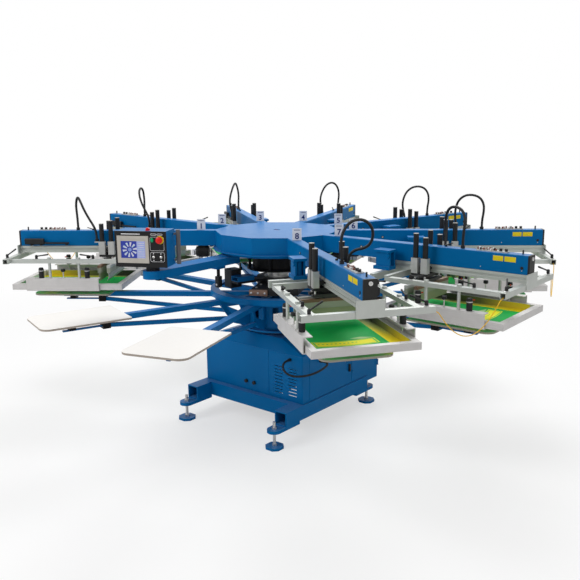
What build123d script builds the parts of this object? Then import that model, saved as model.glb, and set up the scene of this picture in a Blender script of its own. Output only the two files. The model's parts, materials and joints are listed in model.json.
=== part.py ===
from build123d import *
import math
import os

# Automatic rotary screen printing press: eight print heads over a ten-station carousel of pallets.
# Millimetres. The origin is on the floor under the middle of the whole machine, +Z is up and the front,
# between the two load stations, faces -Y. Everything is modelled about the carousel's axis, which stands
# AXIS_Y from the origin. A head or a pallet arm is modelled along +X and turned to its station.

os.makedirs("parts", exist_ok=True)

# ---------------------------------------------------------------- stations
STATIONS = 10
HEADS = 8
STEP_ANGLE = 360 / STATIONS
FIRST_HEAD_ANGLE = 216
HEAD_ANGLES = [FIRST_HEAD_ANGLE - STEP_ANGLE * i for i in range(HEADS)]
PALLET_ANGLES = [FIRST_HEAD_ANGLE - STEP_ANGLE * i for i in range(STATIONS)]

# ---------------------------------------------------------------- fits
RUNNING_GAP = 0.3
SEAT_GAP = 0.3

# ---------------------------------------------------------------- base frame and feet
RAIL_W = 100
RAIL_H = 100
RAIL_WALL = 8
RAIL_X = 425
RAIL_HALF_LEN = 490
FRAME_TOP = 235
BEAM_W = 100
BEAM_FACE_Y = 343
FOOT_PLATE_T = 22
FOOT_Y = 555
STUD_R = 10
STUD_TOP = 186
PAD_SIDE = 116
PAD_CORNER = 30
PAD_T = 18
NUT_AF = 30
NUT_H = 16

# ---------------------------------------------------------------- cabinet
CAB_X = 465
CAB_FRONT_Y = -295
CAB_SEAM_Y = 286
CAB_BACK_Y = 640
CAB_TOP = 577
SHEET_T = 3
PANEL_T = 2
PANEL_EDGE = 5
PANEL_SPLIT_X = 160
SIDE_PANEL_FRONT_Y = -222
FRAME_LIP = 24
ROOF_TOP = 655
ROOF_HALF = 235
ROOF_HOLE_R = 132
BOX_DROP_Z = 190
BOX_DROP_Y = 495
LOUVRE_ROWS = 9
LOUVRE_W = 72
LOUVRE_H = 5
LOUVRE_PITCH = 24
HINGE_PIN_R = 3
HINGE_BARREL_R = 5
HINGE_BARREL_H = 34
HINGE_AXIS_OUT = 8
HINGE_AXIS_IN = 4
HINGE_FROM_EDGE = 75
LOCK_R = 9
LOCK_T = 4
LOCK_Y = CAB_SEAM_Y + 16
LOCK_Z = FRAME_TOP + 90
CABLE_GLAND_X = (-55, 21)
CABLE_GLAND_Z = 302
CABLE_GLAND_R = 13
CABLE_GLAND_L = 14
LATCH_Y = 246
LATCH_Z = 334
LATCH_W = 14
LATCH_H = 55

# ---------------------------------------------------------------- column, lift and index drive
COLUMN_R = 75
COLUMN_WALL = 14
COLUMN_PLATE_T = 15
COLUMN_PLATE_X = 200
COLUMN_PLATE_Y = 278
LIFT_TRAVEL = 45
SLEEVE_WALL = 20
SLEEVE_BOTTOM = 585
SLEEVE_TOP = 1050
SLEEVE_FLANGE_R = 150
SLEEVE_FLANGE_T = 15
BEARING_R = 122
BEARING_TOP = 680
BEARING_T = 22
LIFT_CYL_R = 30
LIFT_CYL_ORBIT = 112
LIFT_CYL_COUNT = 4
LIFT_ROD_R = 11
LIFT_ROD_DEPTH = 120
SHROUD_R = 180
SHROUD_BOTTOM = 1105
SHROUD_FLANGE_R = 222
SHROUD_FLANGE_T = 8
HUB_POST_R = 11
HUB_POST_COUNT = 5
DRIVE_R = 150
DRIVE_BOTTOM = 975
DRIVE_TOP = 1045
DRIVE_ANGLE = 256
BEAM_TUBE_W = 84
BEAM_TUBE_H = 34
BEAM_TUBE_WALL = 4
BEAM_TUBE_START = 232
BEAM_TUBE_END = 372
DRIVE_ARM_T = 16
MOTOR_SIDE = 92
MOTOR_H = 150
MOTOR_X = 330

# ---------------------------------------------------------------- upper hub and arms
HUB_FLANGE_R = 425
HUB_FLANGE_T = 18
HUB_BOTTOM = 1238
HUB_R = 454
HUB_WALL = 6
HUB_PLATE_T = 8
HUB_SLOT_R = 14
HUB_SLOT_L = 56
ARM_TOP = 1380
ARM_W = 74
ARM_H = 112
ARM_WALL = 4
ARM_END = 1884
ARM_EDGE_R = 6
CAP_T = 12
CAP_KNOB_R = 11
CAP_KNOB_T = 5

# ---------------------------------------------------------------- stroke rail and screen holder
RAIL_START = 980
STROKE_RAIL_W = 84
STROKE_RAIL_H = 48
GROOVE_H = 16
GROOVE_D = 10
BAR_SIDE = 34
BAR_WALL = 3
BAR_HALF = 350
FRONT_PLATE_HALF = 75
FRONT_PLATE_T = 6
FRONT_PLATE_TOP = 1277
SIDE_BAR_W = 40
SIDE_BAR_H = 26
SIDE_BAR_OUT = 302
SIDE_BAR_DROP = 10
TIE_START = 1105
TIE_W = 25
REAR_BAR_X = 1000
REAR_BAR_W = 30
REAR_BAR_H = 43
POST_R = 10
POST_X = (1380, 1590)
POST_HEAD_R = 14
POST_HEAD_H = 12

# ---------------------------------------------------------------- screen and its clamps
FRAME_START = 1080
FRAME_LEN = 787
FRAME_W = 583
FRAME_BAR = 38
FRAME_H = 40
FRAME_BOTTOM = 992
MESH_T = 1
MESH_BORDER = 12
CHANNEL_X0 = 1240
CHANNEL_X1 = 1760
CHANNEL_T = 5
CHANNEL_GAP = 8
CHANNEL_TOP = 1076
CHANNEL_LOWER_W = 42
CHANNEL_UPPER_W = 52
CLAMP_R = 18
CLAMP_H = 74
CLAMP_X = (1325, 1655)
CLAMP_FOOT_R = 8
KNOB_X = 1497
KNOB_R = 16
KNOB_H = 20
KNOB_STUD_R = 4
KNOB_TOP = 1142
LEVER_HUB_R = 10
LEVER_HUB_H = 32
LEVER_L = 92
LEVER_T = 11
LEVER_FROM_END = 45
SIDE_LEVER_X = (1275, 1680)

# ---------------------------------------------------------------- carriage, squeegee and flood bar
CARRIAGE_X = (1196, 1263)
CARRIAGE_Y = 90
BLOCK_L = 44
BLOCK_W = 36
BLOCK_TOP = 1310
BRIDGE_TOP = 1214
BRIDGE_T = 16
SHOE_H = 14
CYL_R = 16.5
CYL_TOP = (1460, 1438)
ROD_R = 6
ROD_TOP = 1292
PRINT_DROP = 48
YOKE_TOP = 1176
YOKE_T = 16
YOKE_L = 30
BLADE_HALF = 200
HOLDER_TOP = 1150
HOLDER_BOTTOM = 1096
HOLDER_T = 24
SLOT_DEPTH = 20
BLADE_T = 9
BLADE_BOTTOM = FRAME_BOTTOM + PRINT_DROP + 1
FLOOD_T = 3

# ---------------------------------------------------------------- registration unit
REG_X0 = 930
REG_X1 = 1046
REG_Y0 = -157
REG_Y1 = -74
REG_TOP = 1345
REG_WALL = 10
REG_FOOT_T = 22
REG_TOP_T = 16
REG_CHEEK_IN = 14
REG_WEB_IN = 40
REG_HOUSING_R = 19
REG_HOUSING_IN = 34
REG_BOSS_R = 15
REG_PIVOT_IN = 16
REG_PIVOT_DROP = 32
REG_HUB_T = 16
REG_BALL_R = 14

# ---------------------------------------------------------------- carousel
PALLET_TOP = 943
PALLET_T = 12
PALLET_W = 406
PALLET_IN = 1201
PALLET_LEN = 559
PALLET_OUTER_R = 60
PALLET_INNER_R = 12
TUBE_W = 50
TUBE_H = 36
TUBE_WALL = 3
TUBE_DROP = 7
TUBE_END = 1600
LOWER_W = 26
LOWER_IN_X = 370
LOWER_IN_Z = 776
LOWER_OUT_X = 1305
LOWER_OUT_Z = 866
DRUM_R = 240
DRUM_WALL = 5
DRUM_FLANGE_R = 280
DRUM_FLANGE_T = 12
RIM_R = 490
RIM_WIDTH = 60
RIM_T = 6
RIM_H = 42
GUSSET_T = 8
GUSSET_OUT = 478
GUSSET_LOW_X = 372
GUSSET_LOW_Z = 772
BRACKET_X0 = 1285
BRACKET_X1 = 1335
BRACKET_WALL = 8
STRAP_END = 1585
STRAP_T = 8

# ---------------------------------------------------------------- control panel
PANEL_AXIS = (-130, -1060)
ARM_IN_Y = -330
PANEL_ARM_W = 130
PANEL_ARM_H = 52
BOSS_R = 42
BOSS_H = 30
BOX_W = 330
BOX_H = 225
BOX_D = 160
BOX_WALL = 3
BOX_FACE_ANGLE = 298
BOX_FRONT = 78
BOX_LEFT = -208
PLATE_T = 6
BEZEL_W = 206
BEZEL_H = 170
BEZEL_T = 4
BEZEL_IN = 12
BEZEL_UP = 26
BEZEL_EDGE = 22
BEZEL_SILL = 36
BUTTON_GAP = 0.4
ESTOP_R = 18
ESTOP_T = 14
ESTOP_PUSH = 4
START_R = 10
START_T = 7
START_PUSH = 3
ESTOP_Y = 86
START_Y = 36
BUTTON_Z = 173
STEM = 0.6
STEM_BORE = 5.5
HANDLE_R = 14

# ---------------------------------------------------------------- number signs and arm controls
SIGN_R = 552
SIGN_W = 60
SIGN_H = 78
SIGN_T = 3
SIGN_FOOT = 22
SIGN_FACING = 308
STRIP_X0 = 1560
STRIP_X1 = 1750
STRIP_W = 44
STRIP_T = 6
SWITCH_X = (1585, 1620, 1655)
SWITCH_L = 12
SWITCH_W = 24
SWITCH_H = 7
DIAL_X = (1705, 1738)
DIAL_R = 9
DIAL_H = 15
STOP_PIN_X = 1839
STOP_PIN_R = 5
STOP_PIN_H = 24
CRANK_X = 1350
CRANK_REACH = 35
CRANK_HUB_R = 8
CRANK_HUB_H = 10
PLUG_R = 9
PLUG_T = 3
PLUG_PLACES = ((1851, 1306), (760, 1330))
GRIP_X0 = 1706
GRIP_X1 = 1846
GRIP_W = 22
GRIP_H = 44
GRIP_Z = 1282
GRIP_OUT = 10
TOOL_STEM_X = 1520
TOOL_STEM_SIDE = 12
REST_X = (1730, 1800)
HOOK_X = 1540
REST_T = 10

# ---------------------------------------------------------------- cords
HOSE_X = 1464
GLAND_R = 13
GLAND_H = 18
HOSE_SEAT = 16
CARRIAGE_HOSE_D = 18
CORD_D = 5
CABINET_HOSE_D = 15
FITTING_R = 11
FITTING_L = 20

# Corners of the hoses from an arm's gland to its carriage's gland, as (r, s, z) on a head: r out from the
# carousel's axis, s sideways and z up. Each hose was fitted by hand, so heads differ.
PEAKED_HOSE = [
    (1464, 0, 1398), (1464, 0, 1446), (1469, -8, 1500), (1472, -8, 1556), (1458, 12, 1608),
    (1430, 58, 1626), (1400, 102, 1600), (1373, 117, 1542), (1343, 112, 1478), (1315, 99, 1422),
    (1301, 90, 1374), (1301, 90, 1328)]
ARCHED_HOSE = [
    (1464, 0, 1398), (1464, 0, 1446), (1472, -6, 1500), (1473, 0, 1556), (1450, 16, 1602),
    (1404, 34, 1622), (1350, 56, 1618), (1310, 80, 1584), (1294, 100, 1534), (1290, 111, 1480),
    (1295, 106, 1426), (1301, 90, 1376), (1301, 90, 1328)]
SIDE_LOOP_HOSE = [
    (1464, 0, 1398), (1464, 0, 1442), (1462, -6, 1496), (1461, 4, 1552), (1459, 40, 1600),
    (1455, 92, 1618), (1448, 146, 1604), (1440, 183, 1562), (1430, 189, 1506), (1408, 176, 1464),
    (1378, 154, 1444), (1343, 126, 1434), (1314, 102, 1410), (1301, 90, 1370), (1301, 90, 1328)]
HEAD_HOSES = [PEAKED_HOSE, PEAKED_HOSE, ARCHED_HOSE, ARCHED_HOSE, ARCHED_HOSE, ARCHED_HOSE, ARCHED_HOSE,
              SIDE_LOOP_HOSE]

# A cord from the crossbar's end of the head at 0 degrees to that of the next head, hanging in between.
SAFETY_CORD = [
    (1879, 336, 1192), (1879, 366, 1192), (1869, 397, 1149), (1857, 433, 1106), (1844, 474, 1068),
    (1830, 518, 1040), (1815, 564, 1025), (1800, 611, 1025), (1785, 657, 1040), (1770, 701, 1068),
    (1757, 741, 1106), (1745, 778, 1149), (1735, 808, 1192), (1718, 833, 1192)]

# From the front panel's fitting round the cabinet's corner to the side's, as (x, y, z) about the axis.
CABINET_HOSE = [
    (357, -317, 540), (357, -364, 540), (369, -397, 508), (408, -402, 476), (455, -385, 462), (498, -345, 460),
    (530, -298, 465), (552, -245, 475), (562, -190, 488), (559, -135, 500), (529, -105, 504), (487, -105, 504)]

# ---------------------------------------------------------------- where the axis stands
REACH_BACK = (ARM_END + CAP_T) * math.cos(math.radians(STEP_ANGLE / 2)) + BAR_HALF * math.sin(
    math.radians(STEP_ANGLE / 2))
REACH_FRONT = (
    (PALLET_IN + PALLET_LEN - PALLET_OUTER_R) * math.cos(math.radians(STEP_ANGLE / 2))
    + (PALLET_W / 2 - PALLET_OUTER_R) * math.sin(math.radians(STEP_ANGLE / 2)) + PALLET_OUTER_R)
AXIS_Y = (REACH_FRONT - REACH_BACK) / 2


# ================================================================ helpers
def block(x0, x1, y0, y1, z0, z1):
    return Pos((x0 + x1) / 2, (y0 + y1) / 2, (z0 + z1) / 2) * Box(x1 - x0, y1 - y0, z1 - z0)


def rod(x, y, z0, z1, radius):
    return Pos(x, y, (z0 + z1) / 2) * Cylinder(radius, z1 - z0)


def ring(x, y, z0, z1, outer, inner):
    return rod(x, y, z0, z1, outer) - rod(x, y, z0 - 1, z1 + 1, inner)


def hex_nut(x, y, z0, height, flats, bore):
    body = Pos(x, y, z0) * extrude(RegularPolygon(flats / 2, 6, major_radius=False), height)
    return body - rod(x, y, z0 - 1, z0 + height + 1, bore)


def polygon_prism(points, plane, amount):
    face = make_face(Polyline(*points, close=True))
    return extrude(plane * face, amount, both=True)


def turned(solids, angles):
    return [Rot(0, 0, a) * s for a in angles for s in solids]


def mirrored_y(solid):
    return mirror(solid, Plane.XZ)


def both_sides(solid):
    return [solid, mirrored_y(solid)]


def save(name, shapes):
    solids = []
    for shape in shapes:
        solids.extend((Pos(0, AXIS_Y, 0) * shape).solids())
    export_step(Compound(children=solids, label=name), f"parts/{name}.step")


def bar_between(start, end, width, depth):
    """A straight bar of rectangular section from one point to another, with its width kept level."""
    axis = Vector(*end) - Vector(*start)
    side = Vector(0, 0, 1).cross(axis)
    if side.length < 0.001:
        side = Vector(1, 0, 0)
    plane = Plane(origin=start, x_dir=side, z_dir=axis)
    return extrude(plane * Rectangle(width, depth), axis.length)


# ================================================================ base
def base_frame():
    rail_z0 = FRAME_TOP - RAIL_H
    solids = []
    for sx in (-1, 1):
        outer = block(-RAIL_W / 2, RAIL_W / 2, -RAIL_HALF_LEN, RAIL_HALF_LEN, rail_z0, FRAME_TOP)
        bore = block(-RAIL_W / 2 + RAIL_WALL, RAIL_W / 2 - RAIL_WALL, -RAIL_HALF_LEN - 1, RAIL_HALF_LEN + 1,
                     rail_z0 + RAIL_WALL, FRAME_TOP - RAIL_WALL)
        solids.append(Pos(sx * RAIL_X, 0, 0) * (outer - bore))
    half = RAIL_X - RAIL_W / 2
    for sy in (-1, 1):
        y0 = sy * BEAM_FACE_Y
        y1 = sy * (BEAM_FACE_Y - BEAM_W)
        lo, hi = min(y0, y1), max(y0, y1)
        outer = block(-half, half, lo, hi, rail_z0, FRAME_TOP)
        bore = block(-half - 1, half + 1, lo + RAIL_WALL, hi - RAIL_WALL,
                     rail_z0 + RAIL_WALL, FRAME_TOP - RAIL_WALL)
        solids.append(outer - bore)
    for sx in (-1, 1):
        for sy in (-1, 1):
            y0, y1 = sorted((sy * BEAM_FACE_Y, sy * FOOT_Y))
            plate = block(-RAIL_W / 2, RAIL_W / 2, y0, y1, rail_z0 - FOOT_PLATE_T, rail_z0)
            plate += rod(0, sy * FOOT_Y, rail_z0 - FOOT_PLATE_T, rail_z0, RAIL_W / 2)
            plate -= rod(0, sy * FOOT_Y, 0, FRAME_TOP, STUD_R + RUNNING_GAP)
            solids.append(Pos(sx * RAIL_X, 0, 0) * plate)
    return solids


def feet():
    ear_top = FRAME_TOP - RAIL_H
    studs, pads = [], []
    square = make_face(Polyline(
        (PAD_SIDE / 2, PAD_SIDE / 2 - PAD_CORNER), (PAD_SIDE / 2 - PAD_CORNER, PAD_SIDE / 2),
        (-PAD_SIDE / 2 + PAD_CORNER, PAD_SIDE / 2), (-PAD_SIDE / 2, PAD_SIDE / 2 - PAD_CORNER),
        (-PAD_SIDE / 2, -PAD_SIDE / 2 + PAD_CORNER), (-PAD_SIDE / 2 + PAD_CORNER, -PAD_SIDE / 2),
        (PAD_SIDE / 2 - PAD_CORNER, -PAD_SIDE / 2), (PAD_SIDE / 2, -PAD_SIDE / 2 + PAD_CORNER), close=True))
    for sx in (-1, 1):
        for sy in (-1, 1):
            x, y = sx * RAIL_X, sy * FOOT_Y
            studs.append(rod(x, y, PAD_T, STUD_TOP, STUD_R))
            for z0 in (PAD_T, ear_top - FOOT_PLATE_T - NUT_H, ear_top):
                studs.append(hex_nut(x, y, z0, NUT_H, NUT_AF, STUD_R + RUNNING_GAP))
            pads.append(Pos(x, y, 0) * extrude(square, PAD_T))
    return studs, pads


# ================================================================ cabinet
def cabinet_shell():
    shell = block(-CAB_X, CAB_X, CAB_FRONT_Y, CAB_SEAM_Y, FRAME_TOP, CAB_TOP)
    shell -= block(-CAB_X + SHEET_T, CAB_X - SHEET_T, CAB_FRONT_Y + SHEET_T, CAB_SEAM_Y - SHEET_T,
                   FRAME_TOP - 1, CAB_TOP + 1)
    for x0, x1 in ((-CAB_X, PANEL_SPLIT_X), (PANEL_SPLIT_X, CAB_X)):
        shell -= block(x0 + FRAME_LIP, x1 - FRAME_LIP, CAB_FRONT_Y - 1, CAB_FRONT_Y + SHEET_T + 1,
                       FRAME_TOP + FRAME_LIP, CAB_TOP - FRAME_LIP)
    shell -= block(CAB_X - SHEET_T - 1, CAB_X + 1, SIDE_PANEL_FRONT_Y + FRAME_LIP, CAB_SEAM_Y - 2 * FRAME_LIP,
                   FRAME_TOP + FRAME_LIP, CAB_TOP - FRAME_LIP)
    middle = (CAB_FRONT_Y + CAB_SEAM_Y) / 2
    low = Pos(0, middle, CAB_TOP) * Rectangle(2 * CAB_X, CAB_SEAM_Y - CAB_FRONT_Y)
    high = Pos(0, 0, ROOF_TOP) * Rectangle(2 * ROOF_HALF, 2 * ROOF_HALF)
    roof = loft([low, high])
    low_in = Pos(0, middle, CAB_TOP - SHEET_T) * Rectangle(2 * CAB_X - 2 * SHEET_T,
                                                           CAB_SEAM_Y - CAB_FRONT_Y - 2 * SHEET_T)
    inside = 2 * (ROOF_HALF - SHEET_T)
    high_in = Pos(0, 0, ROOF_TOP - SHEET_T) * Rectangle(inside, inside)
    roof -= loft([low_in, high_in])
    roof -= rod(0, 0, ROOF_TOP - 20, ROOF_TOP + 20, ROOF_HOLE_R)
    return [shell, roof]


def cabinet_panels():
    z0, z1 = FRAME_TOP + PANEL_EDGE, CAB_TOP - PANEL_EDGE
    y0, y1 = CAB_FRONT_Y - PANEL_T, CAB_FRONT_Y
    front = block(-CAB_X + PANEL_EDGE, PANEL_SPLIT_X - PANEL_EDGE / 2, y0, y1, z0, z1)
    louvred = block(PANEL_SPLIT_X + PANEL_EDGE / 2, CAB_X - PANEL_EDGE, y0, y1, z0, z1)
    columns = [PANEL_SPLIT_X + 90, CAB_X - 90]
    middle = (z0 + z1) / 2 - 30
    for x in columns:
        for row in range(LOUVRE_ROWS):
            z = middle + (row - (LOUVRE_ROWS - 1) / 2) * LOUVRE_PITCH
            louvred -= block(x - LOUVRE_W / 2, x + LOUVRE_W / 2, y0 - 1, y1 + 1,
                             z - LOUVRE_H / 2, z + LOUVRE_H / 2)
    side = block(CAB_X, CAB_X + PANEL_T, SIDE_PANEL_FRONT_Y, CAB_SEAM_Y - PANEL_EDGE, z0, z1)
    return [front, louvred, side]


def electrical_box():
    outline = [(CAB_SEAM_Y, FRAME_TOP), (BOX_DROP_Y, FRAME_TOP), (BOX_DROP_Y, BOX_DROP_Z),
               (CAB_BACK_Y, BOX_DROP_Z), (CAB_BACK_Y, CAB_TOP), (CAB_SEAM_Y, CAB_TOP)]
    inner = [(CAB_SEAM_Y + SHEET_T, FRAME_TOP + SHEET_T), (BOX_DROP_Y + SHEET_T, FRAME_TOP + SHEET_T),
             (BOX_DROP_Y + SHEET_T, BOX_DROP_Z + SHEET_T), (CAB_BACK_Y - SHEET_T, BOX_DROP_Z + SHEET_T),
             (CAB_BACK_Y - SHEET_T, CAB_TOP - SHEET_T), (CAB_SEAM_Y + SHEET_T, CAB_TOP - SHEET_T)]
    body = polygon_prism(outline, Plane.YZ, CAB_X)
    body -= polygon_prism(inner, Plane.YZ, CAB_X - SHEET_T)
    body -= block(CAB_X - SHEET_T - 1, CAB_X + 1, CAB_SEAM_Y + FRAME_LIP, CAB_BACK_Y - FRAME_LIP,
                  FRAME_TOP + FRAME_LIP, CAB_TOP - FRAME_LIP)
    solids = [body]
    for z in hinge_heights():
        for side in (-1, 1):
            lug_z = z + side * (HINGE_BARREL_H / 2 + RUNNING_GAP)
            lo, hi = sorted((lug_z, lug_z + side * 6))
            lug = block(CAB_X, CAB_X + HINGE_AXIS_OUT + HINGE_BARREL_R, CAB_BACK_Y - HINGE_AXIS_IN - 4,
                        CAB_BACK_Y, lo, hi)
            solids.append(lug)
        pin = rod(CAB_X + HINGE_AXIS_OUT, CAB_BACK_Y - HINGE_AXIS_IN, z - HINGE_BARREL_H / 2 - RUNNING_GAP,
                  z + HINGE_BARREL_H / 2 + RUNNING_GAP, HINGE_PIN_R)
        solids.append(pin)
    return solids


def hinge_heights():
    return (FRAME_TOP + HINGE_FROM_EDGE, CAB_TOP - HINGE_FROM_EDGE)


def cabinet_door():
    axis_x, axis_y = CAB_X + HINGE_AXIS_OUT, CAB_BACK_Y - HINGE_AXIS_IN
    x0 = CAB_X + SEAT_GAP
    door = block(x0, x0 + PANEL_T, CAB_SEAM_Y + PANEL_EDGE, axis_y - HINGE_BARREL_R,
                 FRAME_TOP + PANEL_EDGE, CAB_TOP - PANEL_EDGE)
    for z in hinge_heights():
        z0, z1 = z - HINGE_BARREL_H / 2, z + HINGE_BARREL_H / 2
        door += rod(axis_x, axis_y, z0, z1, HINGE_BARREL_R)
        door += block(x0 + PANEL_T, axis_x - 2, axis_y - 26, axis_y - 2, z0, z1)
        door -= rod(axis_x, axis_y, z0 - 1, z1 + 1, HINGE_PIN_R + 0.1)
    door += Pos(x0 + PANEL_T + LOCK_T / 2, LOCK_Y, LOCK_Z) * (Rot(0, 90, 0) * Cylinder(LOCK_R, LOCK_T))
    return [door]


def glands():
    solids = []
    front = CAB_FRONT_Y - PANEL_T
    for x in CABLE_GLAND_X:
        gland = Rot(90, 0, 0) * Cylinder(CABLE_GLAND_R, CABLE_GLAND_L)
        solids.append(Pos(x, front - CABLE_GLAND_L / 2, CABLE_GLAND_Z) * gland)
    x, _, z = CABINET_HOSE[0]
    solids.append(Pos(x, front - FITTING_L / 2, z) * (Rot(90, 0, 0) * Cylinder(FITTING_R, FITTING_L)))
    _, y, z = CABINET_HOSE[-1]
    side = CAB_X + PANEL_T
    solids.append(Pos(side + FITTING_L / 2, y, z) * (Rot(0, 90, 0) * Cylinder(FITTING_R, FITTING_L)))
    latch = block(side, side + LATCH_W, LATCH_Y, LATCH_Y + LATCH_W, LATCH_Z, LATCH_Z + LATCH_H)
    solids.append(latch)
    return solids


# ================================================================ column and lift
def centre_column():
    plate_z = FRAME_TOP + COLUMN_PLATE_T
    plate = block(-COLUMN_PLATE_X, COLUMN_PLATE_X, -COLUMN_PLATE_Y, COLUMN_PLATE_Y, FRAME_TOP, plate_z)
    tube = ring(0, 0, plate_z, HUB_BOTTOM, COLUMN_R, COLUMN_R - COLUMN_WALL)
    return [plate, tube]


def lift_cylinder_places():
    return [(LIFT_CYL_ORBIT * math.cos(a), LIFT_CYL_ORBIT * math.sin(a))
            for a in (math.radians(45 + i * 360 / LIFT_CYL_COUNT) for i in range(LIFT_CYL_COUNT))]


def lift_cylinders():
    z0 = FRAME_TOP + COLUMN_PLATE_T
    z1 = SLEEVE_BOTTOM - 20
    solids = []
    for x, y in lift_cylinder_places():
        barrel = rod(x, y, z0, z1, LIFT_CYL_R)
        solids.append(barrel - rod(x, y, z1 - LIFT_ROD_DEPTH, z1 + 1, LIFT_ROD_R + RUNNING_GAP))
    return solids


def lift_sleeve():
    inner = COLUMN_R + RUNNING_GAP
    outer = inner + SLEEVE_WALL
    sleeve = rod(0, 0, SLEEVE_BOTTOM, SLEEVE_TOP, outer)
    sleeve += rod(0, 0, SLEEVE_BOTTOM, SLEEVE_BOTTOM + SLEEVE_FLANGE_T, SLEEVE_FLANGE_R)
    sleeve += rod(0, 0, BEARING_TOP - BEARING_T, BEARING_TOP - SEAT_GAP, BEARING_R)
    sleeve -= rod(0, 0, SLEEVE_BOTTOM - 1, SLEEVE_TOP + 1, inner)
    solids = [sleeve]
    z1 = SLEEVE_BOTTOM
    for x, y in lift_cylinder_places():
        solids.append(rod(x, y, z1 - 20 - LIFT_ROD_DEPTH + LIFT_TRAVEL, z1, LIFT_ROD_R))
    return solids


def index_drive():
    bore = COLUMN_R + 2 * RUNNING_GAP + SLEEVE_WALL
    unit = ring(0, 0, DRIVE_BOTTOM, DRIVE_TOP, DRIVE_R, bore)
    unit = fillet(unit.edges().filter_by(GeomType.CIRCLE).sort_by(Axis.Z)[-1], 6)
    z0 = DRIVE_TOP
    half = BEAM_TUBE_W / 2
    arm = block(0, BEAM_TUBE_END, -half, half, z0 - DRIVE_ARM_T, z0) - rod(0, 0, 0, z0 + 1, DRIVE_R - 8)
    unit += Rot(0, 0, DRIVE_ANGLE) * arm
    beam = block(BEAM_TUBE_START, BEAM_TUBE_END, -half, half, z0, z0 + BEAM_TUBE_H)
    beam -= block(BEAM_TUBE_START - 1, BEAM_TUBE_END + 1, -half + BEAM_TUBE_WALL, half - BEAM_TUBE_WALL,
                  z0 + BEAM_TUBE_WALL, z0 + BEAM_TUBE_H - BEAM_TUBE_WALL)
    motor_y1 = -BEAM_TUBE_W / 2
    motor = block(MOTOR_X - MOTOR_SIDE / 2, MOTOR_X + MOTOR_SIDE / 2, motor_y1 - MOTOR_SIDE, motor_y1,
                  z0 - MOTOR_H / 2 + 20, z0 + MOTOR_H / 2)
    motor = fillet(motor.edges().filter_by(Axis.Z), 10)
    return [unit, Rot(0, 0, DRIVE_ANGLE) * beam, Rot(0, 0, DRIVE_ANGLE) * motor]


def column_shroud():
    bore = COLUMN_R + RUNNING_GAP
    shroud = ring(0, 0, SHROUD_BOTTOM + SHROUD_FLANGE_T, HUB_BOTTOM, SHROUD_R, bore)
    flange = ring(0, 0, SHROUD_BOTTOM, SHROUD_BOTTOM + SHROUD_FLANGE_T, SHROUD_FLANGE_R, bore)
    orbit = (SHROUD_R + SHROUD_FLANGE_R) / 2
    posts = [rod(orbit * math.cos(math.radians(a)), orbit * math.sin(math.radians(a)),
                 SHROUD_BOTTOM + SHROUD_FLANGE_T, HUB_BOTTOM, HUB_POST_R)
             for a in (295 + i * 360 / HUB_POST_COUNT for i in range(HUB_POST_COUNT))]
    return [shroud, flange] + posts


# ================================================================ upper hub
def upper_hub():
    flange = rod(0, 0, HUB_BOTTOM, HUB_BOTTOM + HUB_FLANGE_T, HUB_FLANGE_R)
    z0, z1 = HUB_BOTTOM + HUB_FLANGE_T, ARM_TOP - HUB_PLATE_T
    half = math.radians(STEP_ANGLE / 2)
    inner_r = HUB_R - HUB_WALL / math.cos(half)
    panels = []
    corners = [(r * math.cos(s * half), r * math.sin(s * half)) for r, s in
               ((HUB_R, -1), (HUB_R, 1), (inner_r, 1), (inner_r, -1))]
    panel = Pos(0, 0, z0) * extrude(make_face(Polyline(*corners, close=True)), z1 - z0)
    panels = turned([panel], [a + STEP_ANGLE / 2 for a in PALLET_ANGLES])
    plate = Pos(0, 0, z1) * extrude(RegularPolygon(HUB_R, STATIONS), HUB_PLATE_T)
    slot = Pos(0, 0, z1 - 1) * extrude(SlotOverall(HUB_SLOT_L, 2 * HUB_SLOT_R), HUB_PLATE_T + 2)
    return [flange] + panels + [plate - slot]


def head_arm():
    z0 = ARM_TOP - ARM_H
    arm = block(HUB_R - 40, ARM_END, -ARM_W / 2, ARM_W / 2, z0, ARM_TOP)
    arm = fillet(arm.edges().filter_by(Axis.X), ARM_EDGE_R)
    arm -= block(HUB_R + 12, ARM_END + 1, -ARM_W / 2 + ARM_WALL, ARM_W / 2 - ARM_WALL,
                 z0 + ARM_WALL, ARM_TOP - ARM_WALL)
    return arm - Pos(0, 0, z0 - 1) * extrude(RegularPolygon(HUB_R, STATIONS), ARM_H + 2)


def arm_end_cap():
    z0 = ARM_TOP - ARM_H
    cap = block(ARM_END, ARM_END + CAP_T, -ARM_W / 2, ARM_W / 2, z0, ARM_TOP)
    cap = fillet(cap.edges().filter_by(Axis.X), ARM_EDGE_R)
    knob = Rot(0, 90, 0) * Cylinder(CAP_KNOB_R, CAP_KNOB_T)
    return [cap, Pos(ARM_END + CAP_T + CAP_KNOB_T / 2, 0, ARM_TOP - 2 * CAP_KNOB_R) * knob]


# ================================================================ stroke rail and screen holder
def stroke_rail():
    z1 = ARM_TOP - ARM_H
    z0 = z1 - STROKE_RAIL_H
    w = STROKE_RAIL_W / 2
    g0 = z0 + (STROKE_RAIL_H - GROOVE_H) / 2
    g1 = g0 + GROOVE_H
    half = [(w - 8, z1), (w - 8, z1 - 8), (w, z1 - 8), (w, g1), (w - GROOVE_D, g1), (w - GROOVE_D, g0), (w, g0),
            (w, z0)]
    outline = half + [(-y, z) for y, z in reversed(half)]
    end = ARM_END + CAP_T
    face = make_face(Polyline(*[(y, z) for y, z in outline], close=True))
    profile = Plane(origin=(RAIL_START, 0, 0), x_dir=(0, 1, 0), z_dir=(1, 0, 0)) * face
    return extrude(profile, end - RAIL_START)


def rail_bottom():
    return ARM_TOP - ARM_H - STROKE_RAIL_H


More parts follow.
